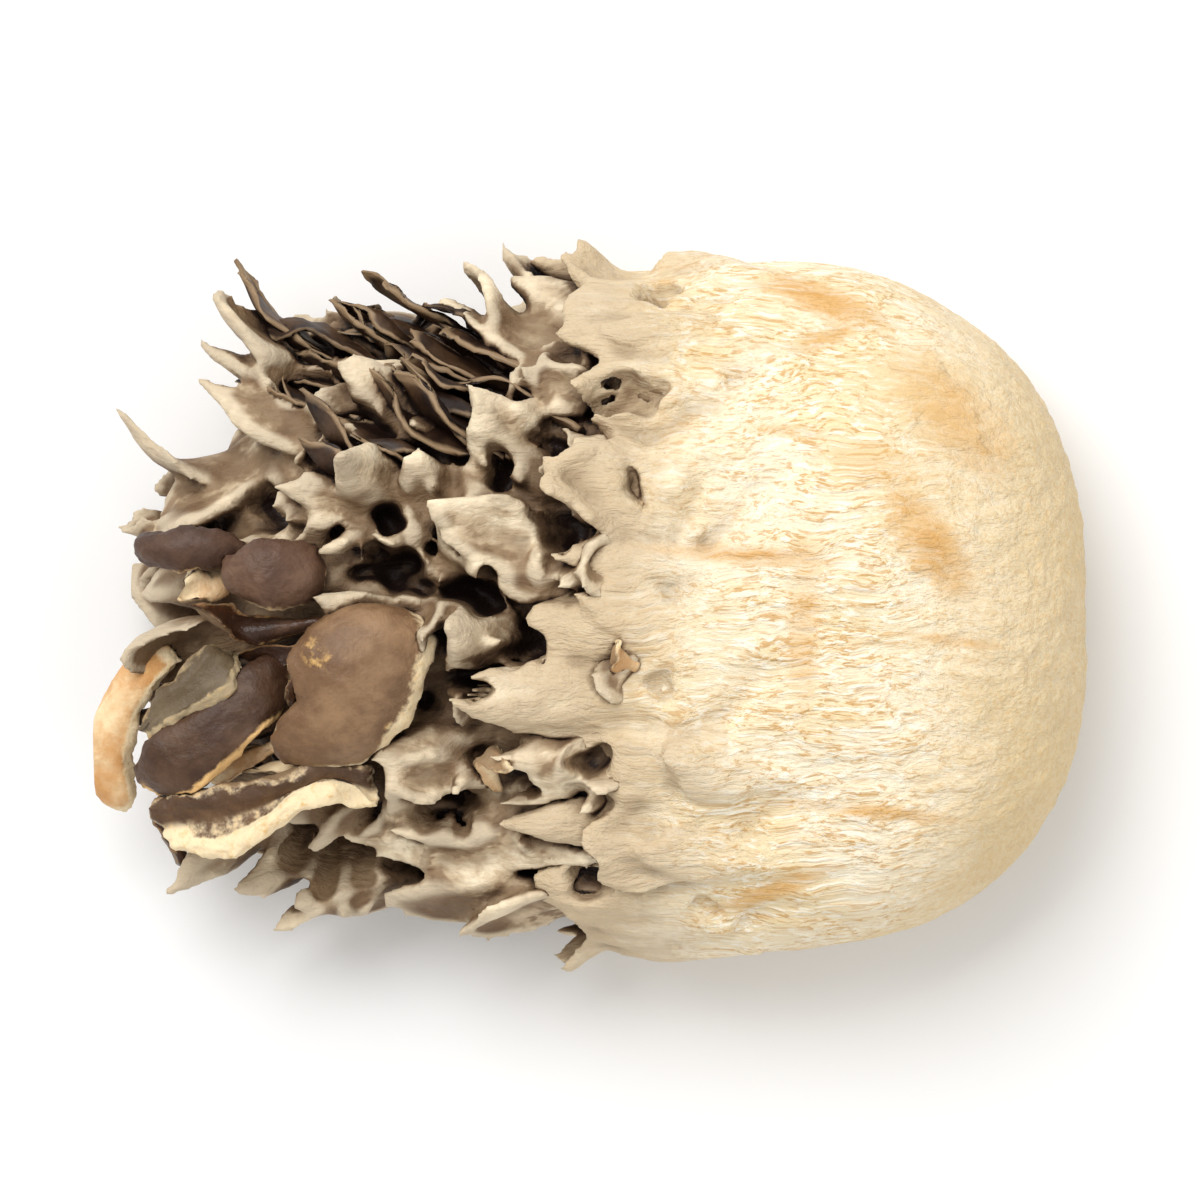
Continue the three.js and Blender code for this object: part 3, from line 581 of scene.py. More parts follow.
# %% A tree, and the one method that makes its nodes
class Tree:
    def __init__(self, nodes_of):
        self.nodes_of = nodes_of

    def put(self, socket, value):
        if isinstance(value, Socket):
            self.nodes_of.links.new(value.out, socket)
        else:
            socket.default_value = value

    def node(self, kind, settings=None, *values, get=None, **named):
        node = self.nodes_of.nodes.new(kind)
        for key, value in (settings or {}).items():
            setattr(node, key, value)
        for socket, value in zip(node.inputs, values):
            self.put(socket, value)
        for key, value in named.items():
            matching = [socket for socket in node.inputs if socket.name == key]
            self.put(next((socket for socket in matching if socket.enabled), matching[0]), value)
        outs = [out for out in node.outputs if out.enabled]
        chosen = outs[0] if get is None else next(out for out in outs if out.name == get)
        return Socket(self, chosen)

    def blend(self, factor, below, above):
        node = self.nodes_of.nodes.new("ShaderNodeMix")
        node.data_type = "RGBA"
        for socket, value in zip((node.inputs[0], node.inputs[6], node.inputs[7]), (factor, below, above)):
            self.put(socket, value)
        return Socket(self, node.outputs[2])


def grown_tree(name, given):
    group = bpy.data.node_groups.new(name, "GeometryNodeTree")
    group.interface.new_socket("Geometry", in_out="INPUT", socket_type="NodeSocketGeometry")
    for label, value in given.items():
        kind = "Material" if value is None else "Int" if isinstance(value, int) else "Float"
        socket = group.interface.new_socket(label, in_out="INPUT", socket_type="NodeSocket" + kind)
        if value is not None:
            socket.default_value = value
    group.interface.new_socket("Geometry", in_out="OUTPUT", socket_type="NodeSocketGeometry")
    tree = Tree(group)
    outputs = group.nodes.new("NodeGroupInput").outputs
    inputs = {out.name: Socket(tree, out) for out in outputs if out.name}
    return tree, inputs, group.nodes.new("NodeGroupOutput").inputs[0]


def grow(piece, group, **values):
    modifier = piece.modifiers.new(group.name, "NODES")
    modifier.node_group = group
    for item in group.interface.items_tree:
        label = item.name.replace(" ", "_").lower()
        if item.in_out == "INPUT" and label in values:
            modifier[item.identifier] = values[label]
    return piece


def new_piece(name, mesh):
    piece = bpy.data.objects.new(name, mesh)
    bpy.context.scene.collection.objects.link(piece)
    return piece


def plain(piece):
    graph = bpy.context.evaluated_depsgraph_get()
    mesh = bpy.data.meshes.new_from_object(piece.evaluated_get(graph), preserve_all_data_layers=True,
                                           depsgraph=graph)
    piece.modifiers.clear()
    piece.data = mesh
    mesh.name = piece.name
    return piece


print("node tree helpers ready")

# %% [markdown]
# ## One tree for every blade
# Fronds, lobes, lamellae and curls all have the same form: a foot, a fan and a blunt tip, cupped, bent and
# ruffled. So one Geometry Nodes tree makes them all. It puts a thin slab of quads on each point, and then
# moves every vertex by the formula of the solids' blades, from measures that are stored on the points.

# %% The blade maker
def blade_tree():
    given = {"Steps along": 12, "Steps across": 10, "Rim": 0.35, "Ragged": 0.0003, "Rim swell": 0.0,
             "Finish": None}
    tree, given, result = grown_tree("blades", given)
    slab = tree.node("GeometryNodeMeshCube", None, (1, 1, 1), given["Steps across"], given["Steps along"],
                     2)
    across, along, face = tree.node("GeometryNodeInputPosition").parts()
    for name, value in (
        ("along", ((along + 0.5) * (math.pi / 2)).sine()),
        ("across", (across * math.pi).sine()),
        ("face", face * 2.0),
    ):
        slab = tree.node("GeometryNodeStoreNamedAttribute", dict(data_type="FLOAT"), slab, Name=name,
                         Value=value)
    copies = tree.node("GeometryNodeInstanceOnPoints", None, Points=given["Geometry"], Instance=slab)
    blades = tree.node("GeometryNodeRealizeInstances", None, copies)

    def measure(name):
        return tree.node("GeometryNodeInputNamedAttribute", dict(data_type="FLOAT"), name)

    def direction(name):
        return tree.node("GeometryNodeInputNamedAttribute", dict(data_type="FLOAT_VECTOR"), name)

    s, t, phase = measure("along"), measure("across"), measure("phase")
    aim, out = direction("aim"), direction("out")
    lobes = (t * 3.4 + phase).sine() * 0.06 + (t * 7.1 + phase * 2.3).sine() * 0.03
    reach = s * (1.0 - t * t * 0.2 + lobes * s)
    turn = measure("bend") * reach + measure("curl") * s.ramp(0.6, 1.0)
    past = (s - 0.62).most(0.0) * (0.78 / 0.38)
    width = measure("half_width") * s.ramp(0.0, 0.7, 0.36, 1.0) * (1.0 - past * past) ** 0.5
    wave = measure("ruffle") * (t * 4.0 + phase + s * 2.5).sine() * s * s
    margin = t.size().ramp(0.7, 1.0).most(s.ramp(0.8, 1.0))
    roundness = ((1.0 - t.size() ** 5.0) * (1.0 - s ** 8.0)).most(0.0) ** 0.5
    half = (measure("thickness") * 0.5 * (1.0 - s * 0.4) * roundness.most(given["Rim"])
            + margin * given["Rim swell"])
    lift = width * (measure("cup") * t * t + wave) + measure("face") * half
    run = measure("length") * reach
    place = direction("root") + aim * (run * (turn * 0.5).cosine() - lift * turn.sine())
    place = place + out * (run * (turn * 0.5).sine() + lift * turn.cosine()) + aim.cross(out) * (width * t)
    coarse = tree.node("ShaderNodeTexNoise", dict(noise_dimensions="4D"), Vector=place, W=phase,
                       Scale=420.0, Detail=2.0, get="Color")
    fine = tree.node("ShaderNodeTexNoise", dict(noise_dimensions="4D"), Vector=place, W=phase + 7.0,
                     Scale=1500.0, Detail=2.0, get="Color")
    torn = (coarse - (0.5, 0.5, 0.5)) * (given["Ragged"] * (margin * 2.4 + s * 0.8))
    torn = torn + (fine - (0.5, 0.5, 0.5)) * (given["Ragged"] * (margin * 1.2))
    x, y, z = (place + torn).parts()
    place = tree.node("ShaderNodeCombineXYZ", None, x, y, z.most(0.1 * MM))
    blades = tree.node("GeometryNodeSetPosition", None, blades, Position=place)
    blades = tree.node("GeometryNodeStoreNamedAttribute", dict(data_type="FLOAT"), blades, Name="margin",
                       Value=margin)
    blades = tree.node("GeometryNodeSetMaterial", None, blades, Material=given["Finish"])
    tree.put(result, blades)
    return tree.nodes_of


LENGTHS = ("length", "half_width", "thickness")
MEASURES = ("length", "half_width", "bend", "curl", "cup", "ruffle", "phase", "thickness", "tone")


def store(mesh, name, values):
    values = np.asarray(values, np.float32)
    kind, field = ("FLOAT_VECTOR", "vector") if values.ndim == 2 else ("FLOAT", "value")
    if name not in mesh.attributes:
        mesh.attributes.new(name, kind, "POINT")
    mesh.attributes[name].data.foreach_set(field, values.ravel())


def read(mesh, name):
    values = np.zeros(len(mesh.vertices), np.float32)
    if name in mesh.attributes:
        mesh.attributes[name].data.foreach_get("value", values)
    return values


def blades_piece(name, blades, **inputs):
    mesh = bpy.data.meshes.new(name)
    mesh.from_pydata([blade["root"] * MM for blade in blades], [], [])
    store(mesh, "root", [blade["root"] * MM for blade in blades])
    for direction in ("aim", "out"):
        store(mesh, direction, [blade[direction] for blade in blades])
    for measure in MEASURES:
        store(mesh, measure,
              [blade.get(measure, 0.5) * (MM if measure in LENGTHS else 1) for blade in blades])
    return plain(grow(new_piece(name, mesh), BLADES, **inputs))


BLADES = blade_tree()
print("blade tree:", len(BLADES.nodes), "nodes")

# %% [markdown]
# ## The finishes
# Every colour below follows the photograph. The finishes use Object coordinates and the
# measures that the mesh carries: how far along its blade a point is, which face it is on, and how open
# it lies to the light. Dried flesh is matt and slightly translucent. The gaps are darkest, partly flesh
# that dried darker and partly painted shade, and the fronds' crests carry a painted highlight.

# %% Colours and a shader to start from
def srgb(red, green, blue):
    def linear(c):
        return c / 255 / 12.92 if c / 255 <= 0.04045 else ((c / 255 + 0.055) / 1.055) ** 2.4
    return (linear(red), linear(green), linear(blue), 1.0)


CREAM = srgb(250, 236, 208)
CREAM_MID = srgb(240, 220, 180)
TAN = srgb(228, 205, 162)
OCHRE = srgb(222, 178, 108)
PALE_GREY = srgb(202, 180, 148)
GREY_BROWN = srgb(146, 121, 92)
TAUPE = srgb(146, 110, 78)
DARK_BROWN = srgb(84, 60, 40)
CREVICE = srgb(30, 14, 6)
WHITE_CREAM = srgb(255, 248, 230)
# Pale flesh, and on the fronds' open crests a painted highlight.
PALE_FLESH_AND_HIGHLIGHT = srgb(246, 230, 200)
STAIN = srgb(216, 164, 88)
STRAW = srgb(238, 210, 156)
DEEP_STRAW = srgb(206, 158, 92)
RUST = srgb(200, 140, 70)
# Painted shade for the valleys and gaps between the lobes.
PAINTED_SHADE_BROWN = srgb(134, 110, 82)
SHADOWED = srgb(104, 80, 57)
UMBER = srgb(112, 86, 60)


def new_finish(name):
    material = bpy.data.materials.new(name)
    material.use_nodes = True
    material.node_tree.nodes.clear()
    return material, Tree(material.node_tree)


def finished(tree, colour, roughness, height, strength, depth, glow=0.12):
    bump = tree.node("ShaderNodeBump", None, Strength=strength, Distance=depth, Height=height)
    shader = tree.node("ShaderNodeBsdfPrincipled", None, **{
        "Base Color": colour, "Roughness": roughness, "Normal": bump, "Subsurface Weight": glow,
        "Subsurface Radius": (0.9, 0.55, 0.3), "Subsurface Scale": 1.2 * MM, "Specular IOR Level": 0.35,
    })
    tree.node_output = tree.nodes_of.nodes.new("ShaderNodeOutputMaterial")
    tree.put(tree.node_output.inputs[0], shader)


def carried(tree, name):
    return tree.node("ShaderNodeAttribute", dict(attribute_name=name), get="Fac")


def noise(tree, place, scale, detail=4.0, roughness=0.55, distortion=0.0):
    return tree.node("ShaderNodeTexNoise", None, Vector=place, Scale=scale, Detail=detail,
                     Roughness=roughness, Distortion=distortion, get="Fac")


# %% Stains: middle, reach along and across in millimetres, heading in degrees, strength
STAINS = [
    ((6.3, 21.6), (4.6, 1.1), -22, 0.9), ((6.8, 19.0), (2.6, 0.8), 25, 0.8),
    ((15.0, 13.8), (5.0, 2.2), -40, 0.75),
    ((13.4, 4.8), (4.4, 1.6), -52, 0.9), ((0.3, 3.9), (6.0, 0.6), -4, 1.0),
    ((4.9, -1.4), (5.2, 1.1), 88, 0.55),
    ((14.6, -1.9), (3.6, 0.4), -8, 0.8), ((10.2, -13.8), (5.4, 0.5), -6, 0.8),
    ((2.6, -19.4), (3.6, 0.6), 20, 0.9),
    ((10.0, 10.0), (4.0, 1.4), -10, 0.4), ((3.5, 12.4), (2.6, 0.5), -8, 0.6),
]


# %% The cream flesh of the stem base
def stem_finish():
    material, tree = new_finish("stem_flesh_cream")
    place = tree.node("ShaderNodeTexCoord", None, get="Object")
    x, y, z = place.parts()
    warp = tree.node("ShaderNodeTexNoise", None, Vector=place, Scale=170.0, Detail=2.0, get="Color")
    stretched = place * (0.24, 1.0, 1.0) + (warp - (0.5, 0.5, 0.5)) * 0.0022
    fibre = noise(tree, stretched, 900.0, 5.0, 0.6)
    thread = noise(tree, stretched, 2600.0, 3.0, 0.6)
    squiggle = noise(tree, stretched, 4300.0, 3.0, 0.6, 0.5)
    patch = noise(tree, place, 80.0)
    pebble = noise(tree, place, 2400.0, 4.0, 0.65)
    stain = noise(tree, stretched, 260.0, 5.0, 0.65)
    opened, away, along = carried(tree, "open"), carried(tree, "blade"), carried(tree, "along")
    rim = (x + (patch - 0.5) * 0.014 + (stain - 0.5) * 0.006).ramp(0.009, 0.02)
    lobed = (x + (patch - 0.5) * 0.022 + (stain - 0.5) * 0.014).ramp(0.002, -0.011)
    colour = tree.blend(patch.ramp(0.38, 0.62), CREAM, CREAM_MID)
    fibrous = (1.0 - rim * 0.75) * (1.0 - lobed * 0.7)
    colour = tree.blend(fibre.ramp(0.45, 0.7) * 0.5 * fibrous, colour, STRAW)
    colour = tree.blend(squiggle.ramp(0.48, 0.6) * fibre.ramp(0.34, 0.56) * fibrous * 0.8, colour,
                        DEEP_STRAW)
    colour = tree.blend(thread.ramp(0.52, 0.62) * 0.8 * fibrous, colour, WHITE_CREAM)
    colour = tree.blend(rim * 0.75, colour, TAN)
    colour = tree.blend(rim * pebble.ramp(0.4, 0.68) * 0.4, colour, OCHRE)
    spots = stain.ramp(0.6, 0.8) * 0.35
    for (spot_x, spot_y), (reach_x, reach_y), heading, strength in STAINS:
        turned_x, turned_y = math.cos(math.radians(heading)), math.sin(math.radians(heading))
        u = ((x - spot_x * MM) * turned_x + (y - spot_y * MM) * turned_y) / (reach_x * MM)
        v = ((y - spot_y * MM) * turned_x - (x - spot_x * MM) * turned_y) / (reach_y * MM)
        far = u * u + v * v + (stain - 0.5) * 3.0 + (squiggle - 0.5) * 1.4
        spots = spots.most(far.ramp(2.2, -0.4, 0.0, strength) * z.ramp(0.006, 0.012))
    colour = tree.blend(spots.least(1.0) * (0.55 + fibre.ramp(0.35, 0.6) * 0.4), colour, STAIN)
    colour = tree.blend(spots.ramp(0.7, 1.1) * squiggle.ramp(0.4, 0.6) * 0.6, colour, RUST)
    greying = lobed * 0.55 + away * along * 0.5 + (patch - 0.5) * 2.0 * lobed + (fibre - 0.5) * 1.4 * lobed
    colour = tree.blend(greying.least(0.85).most(0.0), colour, PALE_GREY)
    crest = carried(tree, "crest")
    # Painted shade in the valleys between the lobes, where a vertex sinks below its neighbours.
    colour = tree.blend(crest.ramp(0.1, -1.3) * 0.6 * (lobed * 0.7 + 0.3), colour, PAINTED_SHADE_BROWN)
    # Darker the less open a point lies: painted shade in the gaps, partly flesh that dried darker there.
    colour = tree.blend(opened.ramp(0.86, 0.5) * 0.8, colour, GREY_BROWN)
    colour = tree.blend(opened.ramp(0.5, 0.26), colour, SHADOWED)
    colour = tree.blend(opened.ramp(0.3, 0.08), colour, CREVICE)
    height = fibre + thread * 0.5 + squiggle * 0.3 + pebble * 0.2
    finished(tree, colour, 0.72, height, 0.85, 0.5 * MM, 0.08)
    return material


# %% The grey-brown flesh of the fronds and lobes
def frond_finish():
    material, tree = new_finish("frond_flesh_grey")
    place = tree.node("ShaderNodeTexCoord", None, get="Object")
    x, y, z = place.parts()
    warp = tree.node("ShaderNodeTexNoise", None, Vector=place, Scale=170.0, Detail=2.0, get="Color")
    stretched = place * (0.3, 1.0, 1.0) + (warp - (0.5, 0.5, 0.5)) * 0.003
    patch = noise(tree, place, 210.0, 4.0, 0.6)
    flow = noise(tree, stretched, 420.0, 3.0, 0.55)
    fibre = noise(tree, stretched, 2200.0, 4.0, 0.6, 0.4)
    speck = noise(tree, place, 2600.0, 2.0)
    opened, tone = carried(tree, "open"), carried(tree, "tone")
    age = tone * 0.6 + x.ramp(-0.002, -0.030) * 0.35 + (patch - 0.5) * 2.8 + (flow - 0.5) * 2.0 + 0.26
    colour = tree.blend(age.ramp(-0.05, 0.35), PALE_FLESH_AND_HIGHLIGHT, PALE_GREY)
    colour = tree.blend(age.ramp(0.35, 0.65), colour, GREY_BROWN)
    colour = tree.blend(age.ramp(0.65, 1.0), colour, UMBER)
    crest = carried(tree, "crest")
    colour = tree.blend(fibre.ramp(0.52, 0.75) * 0.35, colour, TAUPE)
    # Painted shade in the valleys and painted highlight on the open crests, by how far a vertex stands out.
    colour = tree.blend(crest.ramp(0.1, -1.1) * 0.75, colour, PAINTED_SHADE_BROWN)
    colour = tree.blend(crest.ramp(0.1, 1.3) * opened.ramp(0.45, 0.8) * 0.55, colour, PALE_FLESH_AND_HIGHLIGHT)
    # Darker the less open a point lies and inside the scoops: painted shade, partly flesh that dried darker
    # there.
    colour = tree.blend(opened.ramp(0.98, 0.6) * 0.8, colour, PAINTED_SHADE_BROWN)
    colour = tree.blend(opened.ramp(0.76, 0.46), colour, SHADOWED)
    sunk = opened.ramp(0.5, 0.2) + carried(tree, "hollow") * opened.ramp(0.8, 0.45) * 0.8
    colour = tree.blend(sunk.least(1.0), colour, CREVICE)
    finished(tree, colour, 0.6, fibre + flow + patch * 0.8 + speck * 0.3, 0.6, 0.35 * MM, 0.08)
    return material


# %% The thin dark lamellae
def lamella_finish():
    material, tree = new_finish("lamella_dark_brown")
    place = tree.node("ShaderNodeTexCoord", None, get="Object")
    patch = noise(tree, place, 260.0)
    fibre = noise(tree, place, 1500.0)
    margin, tone, opened = carried(tree, "margin"), carried(tree, "tone"), carried(tree, "open")
    colour = tree.blend(patch.ramp(0.35, 0.65), CREVICE, DARK_BROWN)
    colour = tree.blend((margin * 0.9 - tone * 0.55 + (patch - 0.5) * 0.8).ramp(0.1, 0.6), colour,
                        GREY_BROWN)
    # Darker the less open a point lies: painted shade between the sheets, partly flesh that dried darker
    # there.
    colour = tree.blend(opened.ramp(0.45, 0.15), colour, CREVICE)
    finished(tree, colour, 0.5, fibre + patch, 0.4, 0.15 * MM, 0.05)
    return material


# %% The caps' skin, with its pale broken rim
def cap_finish(name, skin_colour, deep_colour, rim_colour, glint=0.0, gloss=0.45, rim_from=0.5):
    material, tree = new_finish(name)
    place = tree.node("ShaderNodeTexCoord", None, get="Object")
    patch = noise(tree, place, 230.0, 5.0, 0.6)
    grain = noise(tree, place, 1400.0, 5.0, 0.65)
    margin, face, across, opened = (carried(tree, key) for key in ("margin", "face", "across", "open"))
    streak = noise(tree, place, 520.0, 3.0, 0.6, 1.2)
    colour = tree.blend(patch.ramp(0.35, 0.65), skin_colour, deep_colour)
    colour = tree.blend(streak.ramp(0.5, 0.7) * 0.5, colour, deep_colour)
    colour = tree.blend(across.ramp(-0.55, -0.95) * 0.6, colour, deep_colour)
    colour = tree.blend((patch.ramp(0.58, 0.7) * grain.ramp(0.45, 0.65)) * glint, colour, OCHRE)
    colour = tree.blend(face.ramp(0.2, -0.4) * 0.8, colour, GREY_BROWN)
    broken = margin + (grain - 0.5) * 0.7 + (patch - 0.5) * 0.5
    edge = broken.ramp(rim_from, rim_from + 0.3) * across.ramp(-0.3, 0.3) + broken.ramp(0.95, 1.15) * 0.6
    colour = tree.blend(edge, colour, rim_colour)
    colour = tree.blend(edge * grain.ramp(0.5, 0.7) * 0.5, colour, OCHRE)
    # Darker the less open a point lies: painted shade, partly flesh that dried darker there.
    colour = tree.blend(opened.ramp(0.5, 0.12), colour, CREVICE)
    finished(tree, colour, edge.ramp(0.0, 1.0, gloss, 0.75), grain + patch + streak, 0.55, 0.25 * MM, 0.08)
    return material


BRIGHT_RIM = srgb(244, 222, 182)
ORANGE_RIM = srgb(236, 192, 130)
STEM_FINISH = stem_finish()
FROND_FINISH = frond_finish()
LAMELLA_FINISH = lamella_finish()
CURL_FINISH = cap_finish("curl_dark", srgb(92, 62, 42), srgb(56, 34, 22), srgb(150, 112, 76), 0.0, 0.28)
RIM_FINISH = cap_finish("curl_pale", BRIGHT_RIM, srgb(206, 160, 110), BRIGHT_RIM, 0.8, 0.6)
print("finishes:", [material.name for material in bpy.data.materials if material.node_tree])

# %% [markdown]
# ## The body of the stem base and of the core
# A loft through the skin's cross-sections gives one closed form, with furrows between the branches that
# deepen towards the fronds. It is built from a grid of quads, because the fusing step that follows only
# needs a closed form and makes its own even faces.

# %% A closed length of the skin
FURROWS = 7
FURROW_DEPTH = 1.6
SWELLING = 0.5


def branch_relief(x, angle):
    ridge = abs(math.sin(FURROWS * angle + 0.9 * math.sin(0.35 * x)))
    furrow = FURROW_DEPTH * ramp(10, BASE_END, x) * (1 - ridge) ** 2
    swelling = SWELLING * ramp(22, 12, x) * math.sin(0.19 * x + 2 * angle) * math.sin(3 * angle + 1.2)
    return swelling - furrow


def skin_piece(name, from_x, to_x, stations, around, relief):
    points = []
    for i in range(stations + 1):
        x = mix(from_x, to_x, (1 - math.cos(math.pi * i / stations)) / 2)
        for k in range(around):
            angle = 2 * math.pi * k / around
            point, normal, along = skin_frame(x, angle)
            point = point + normal * relief(x, angle)
            points.append((x * MM, point.y * MM, max(point.z, 0.0) * MM))
    faces = []
    for i in range(stations):
        for k in range(around):
            a, b = i * around + k, i * around + (k + 1) % around
            faces.append((a, a + around, b + around, b))
    faces.append(tuple(range(around)))
    faces.append(tuple(reversed(range(stations * around, (stations + 1) * around))))
    mesh = bpy.data.meshes.new(name)
    mesh.from_pydata(points, [], faces)
    return new_piece(name, mesh)


trunk = skin_piece("trunk", 0.9995 * THICK_END_REACH, -9.0, 90, 200, branch_relief)
core = skin_piece("core", -4.0, CORE_END + 0.01, 60, 160, lambda x, angle: branch_relief(x, angle) - 0.5)
print("trunk and core:", len(trunk.data.polygons), len(core.data.polygons), "faces")

# %% [markdown]
# ## One skin over body and blades
# On the real clump the fronds aren't stuck on: flesh runs from the branch into the blade. So the body and
# its blades are remeshed together at a third of a millimetre, which melts the joints, and then smoothed.
# The new vertices have no measures, so each takes those of the nearest vertex of what it was made from.

# %% Fusing and carrying the measures over
CARRIED = ("along", "across", "face", "margin", "tone", "blade", "hollow")


def triangles(mesh):
    mesh.calc_loop_triangles()
    corners = np.zeros(len(mesh.loop_triangles) * 3, np.int32)
    mesh.loop_triangles.foreach_get("vertices", corners)
    return corners.reshape(-1, 3)


def places(mesh):
    values = np.zeros(len(mesh.vertices) * 3, np.float32)
    mesh.vertices.foreach_get("co", values)
    return values.reshape(-1, 3)


def without_crumbs(mesh):
    ends = np.zeros(len(mesh.edges) * 2, np.int32)
    mesh.edges.foreach_get("vertices", ends)
    a, b = ends.reshape(-1, 2).T
    label = np.arange(len(mesh.vertices))
    while True:
        least = np.minimum(label[a], label[b])
        nearer = label.copy()
        np.minimum.at(nearer, a, least)
        np.minimum.at(nearer, b, least)
        nearer = nearer[nearer]
        if np.array_equal(nearer, label):
            break
        label = nearer
    main = np.bincount(label).argmax()
    loose = np.flatnonzero(label != main)
    body = bmesh.new()
    body.from_mesh(mesh)
    body.verts.ensure_lookup_table()
    bmesh.ops.delete(body, geom=[body.verts[i] for i in loose], context="VERTS")
    body.to_mesh(mesh)
    body.free()
    return len(loose)


def fused(name, parts, voxel, rounds):
    joined = bmesh.new()
    for part in parts:
        joined.from_mesh(part.data)
    mesh = bpy.data.meshes.new(name)
    joined.to_mesh(mesh)
    joined.free()
    piece = new_piece(name, mesh)
    remesh = piece.modifiers.new("one skin", "REMESH")
    remesh.mode = "VOXEL"
    remesh.voxel_size = voxel * MM
    soften = piece.modifiers.new("soften", "SMOOTH")
    soften.factor = 0.5
    soften.iterations = rounds
    plain(piece)
    crumbs = without_crumbs(piece.data)
    near = KDTree(sum(len(part.data.vertices) for part in parts))
    values = {key: np.concatenate([read(part.data, key) for part in parts]) for key in CARRIED}
    for i, place in enumerate(np.concatenate([places(part.data) for part in parts])):
        near.insert(place, i)
    near.balance()
    nearest = np.array([near.find(place)[1] for place in places(piece.data)])
    for key in CARRIED:
        store(piece.data, key, values[key][nearest])
    for part in parts:
        bpy.data.objects.remove(part)
    print(name, len(piece.data.polygons) * 2, "triangles,", crumbs, "loose vertices dropped")
    return piece


def mark_as_blades(piece):
    store(piece.data, "blade", np.ones(len(piece.data.vertices)))
    return piece


# %% The flesh relief
def relief_tree():
    given = {"Fibre height": 0.0002, "Fold height": 0.0006, "Finish": None}
    tree, given, result = grown_tree("flesh relief", given)
    place, normal = tree.node("GeometryNodeInputPosition"), tree.node("GeometryNodeInputNormal")
    warp = tree.node("ShaderNodeTexNoise", None, Vector=place, Scale=170.0, Detail=2.0, get="Color")
    stretched = place * (0.24, 1.0, 1.0) + (warp - (0.5, 0.5, 0.5)) * 0.0022
    fibre = noise(tree, stretched, 900.0, 3.0, 0.55)
    fold = noise(tree, place * (0.45, 1.0, 1.0), 150.0, 3.0)
    height = (fibre - 0.5) * given["Fibre height"] + (fold - 0.5) * given["Fold height"]
    moved = tree.node("GeometryNodeSetPosition", None, given["Geometry"], Offset=normal * height)
    moved = tree.node("GeometryNodeSetShadeSmooth", None, moved)
    tree.put(result, tree.node("GeometryNodeSetMaterial", None, moved, Material=given["Finish"]))
    return tree.nodes_of


RELIEF = relief_tree()


def with_relief(piece, fibre, fold, finish):
    return plain(grow(piece, RELIEF, fibre_height=fibre * MM, fold_height=fold * MM, finish=finish))


# %% Fuse the stem base, then the fronds
def toned(fronds, seed, low, high):
    draw = Draw(seed)
    return [{**frond, "tone": draw.span(low, high)} for frond in fronds]


pale_row = mark_as_blades(blades_piece("pale_row", toned(base_fronds(), 3, 0.0, 0.2), ragged=0.5 * MM,
                                       rim=0.5))
stem_lobes = mark_as_blades(blades_piece("stem_lobes",
                                         [lobe for lobe in LOBES if lobe["root"].x > BASE_END],
                                        steps_along=18, steps_across=14, ragged=0.4 * MM, rim=0.5))
stem_base = fused("stem_base_soft", [trunk, pale_row, stem_lobes], 0.4, 2)
stem_base = with_relief(fused("stem_base_flesh", [scoop(stem_base)], 0.3, 3), 0.42, 1.1, STEM_FINISH)

rows = mark_as_blades(blades_piece("rows", toned(small_fronds(), 4, 0.25, 0.85), ragged=0.6 * MM, rim=0.45))
large = [lobe for lobe in LOBES if lobe["root"].x <= BASE_END]
lobes = mark_as_blades(blades_piece("lobes", large, steps_along=24, steps_across=18, ragged=0.35 * MM,
                                    rim=0.5))
little = mark_as_blades(blades_piece("little", little_lobes(), steps_along=14, ragged=0.4 * MM, rim=0.5))
fronds = fused("frond_soft", [core, rows, lobes, little], 0.33, 1)
fronds = with_relief(fused("frond_flesh", [scoop(fronds)], 0.33, 2), 0.2, 0.6, FROND_FINISH)

# %% The lamellae and curls stay thin, so they aren't fused
def thin_piece(name, blades, finish):
    return blades_piece(name, blades, steps_along=24, steps_across=10, ragged=0.45 * MM, rim=0.5,
                        finish=finish)


lamellae = thin_piece("dark_lamellae", dark_lamellae(), LAMELLA_FINISH)
dark_curls = thin_piece("dark_curls", DARK_CURLS, CURL_FINISH)
pale_curls = thin_piece("pale_curls", PALE_CURLS, RIM_FINISH)
for piece in (lamellae, dark_curls, pale_curls):
    print(piece.name, len(triangles(piece.data)), "triangles")

# %% [markdown]
# ## The large caps
# At the lower left corner a few caps have kept their skin: brown, leathery and slightly glossy, with a pale
# rim where the flesh has broken off. Each is one blade of its own, so that it can be picked out and
# recoloured alone. They are made finer than the fronds, because they are what the eye goes to first.

# %% A sheet of flesh between two edges
def at_pixel(px, py, z):
    return ((px - MIDDLE_PIXEL[0]) * MM_PER_PIXEL, (MIDDLE_PIXEL[1] - py) * MM_PER_PIXEL, z)


def curve_through(points, count):
    points = np.array(points, float)
    padded = np.vstack([2 * points[0] - points[1], points, 2 * points[-1] - points[-2]])
    at = np.linspace(0, len(points) - 1, count)
    i = np.minimum(at.astype(int), len(points) - 2)
    u = (at - i)[:, None]
    a, b, c, d = (padded[i + k] for k in range(4))
    return 0.5 * (2 * b + (c - a) * u + (2 * a - 5 * b + 4 * c - d) * u**2 + (3 * b - a - 3 * c + d) * u**3)


def normalised(vectors):
    return vectors / np.linalg.norm(vectors, axis=-1, keepdims=True)


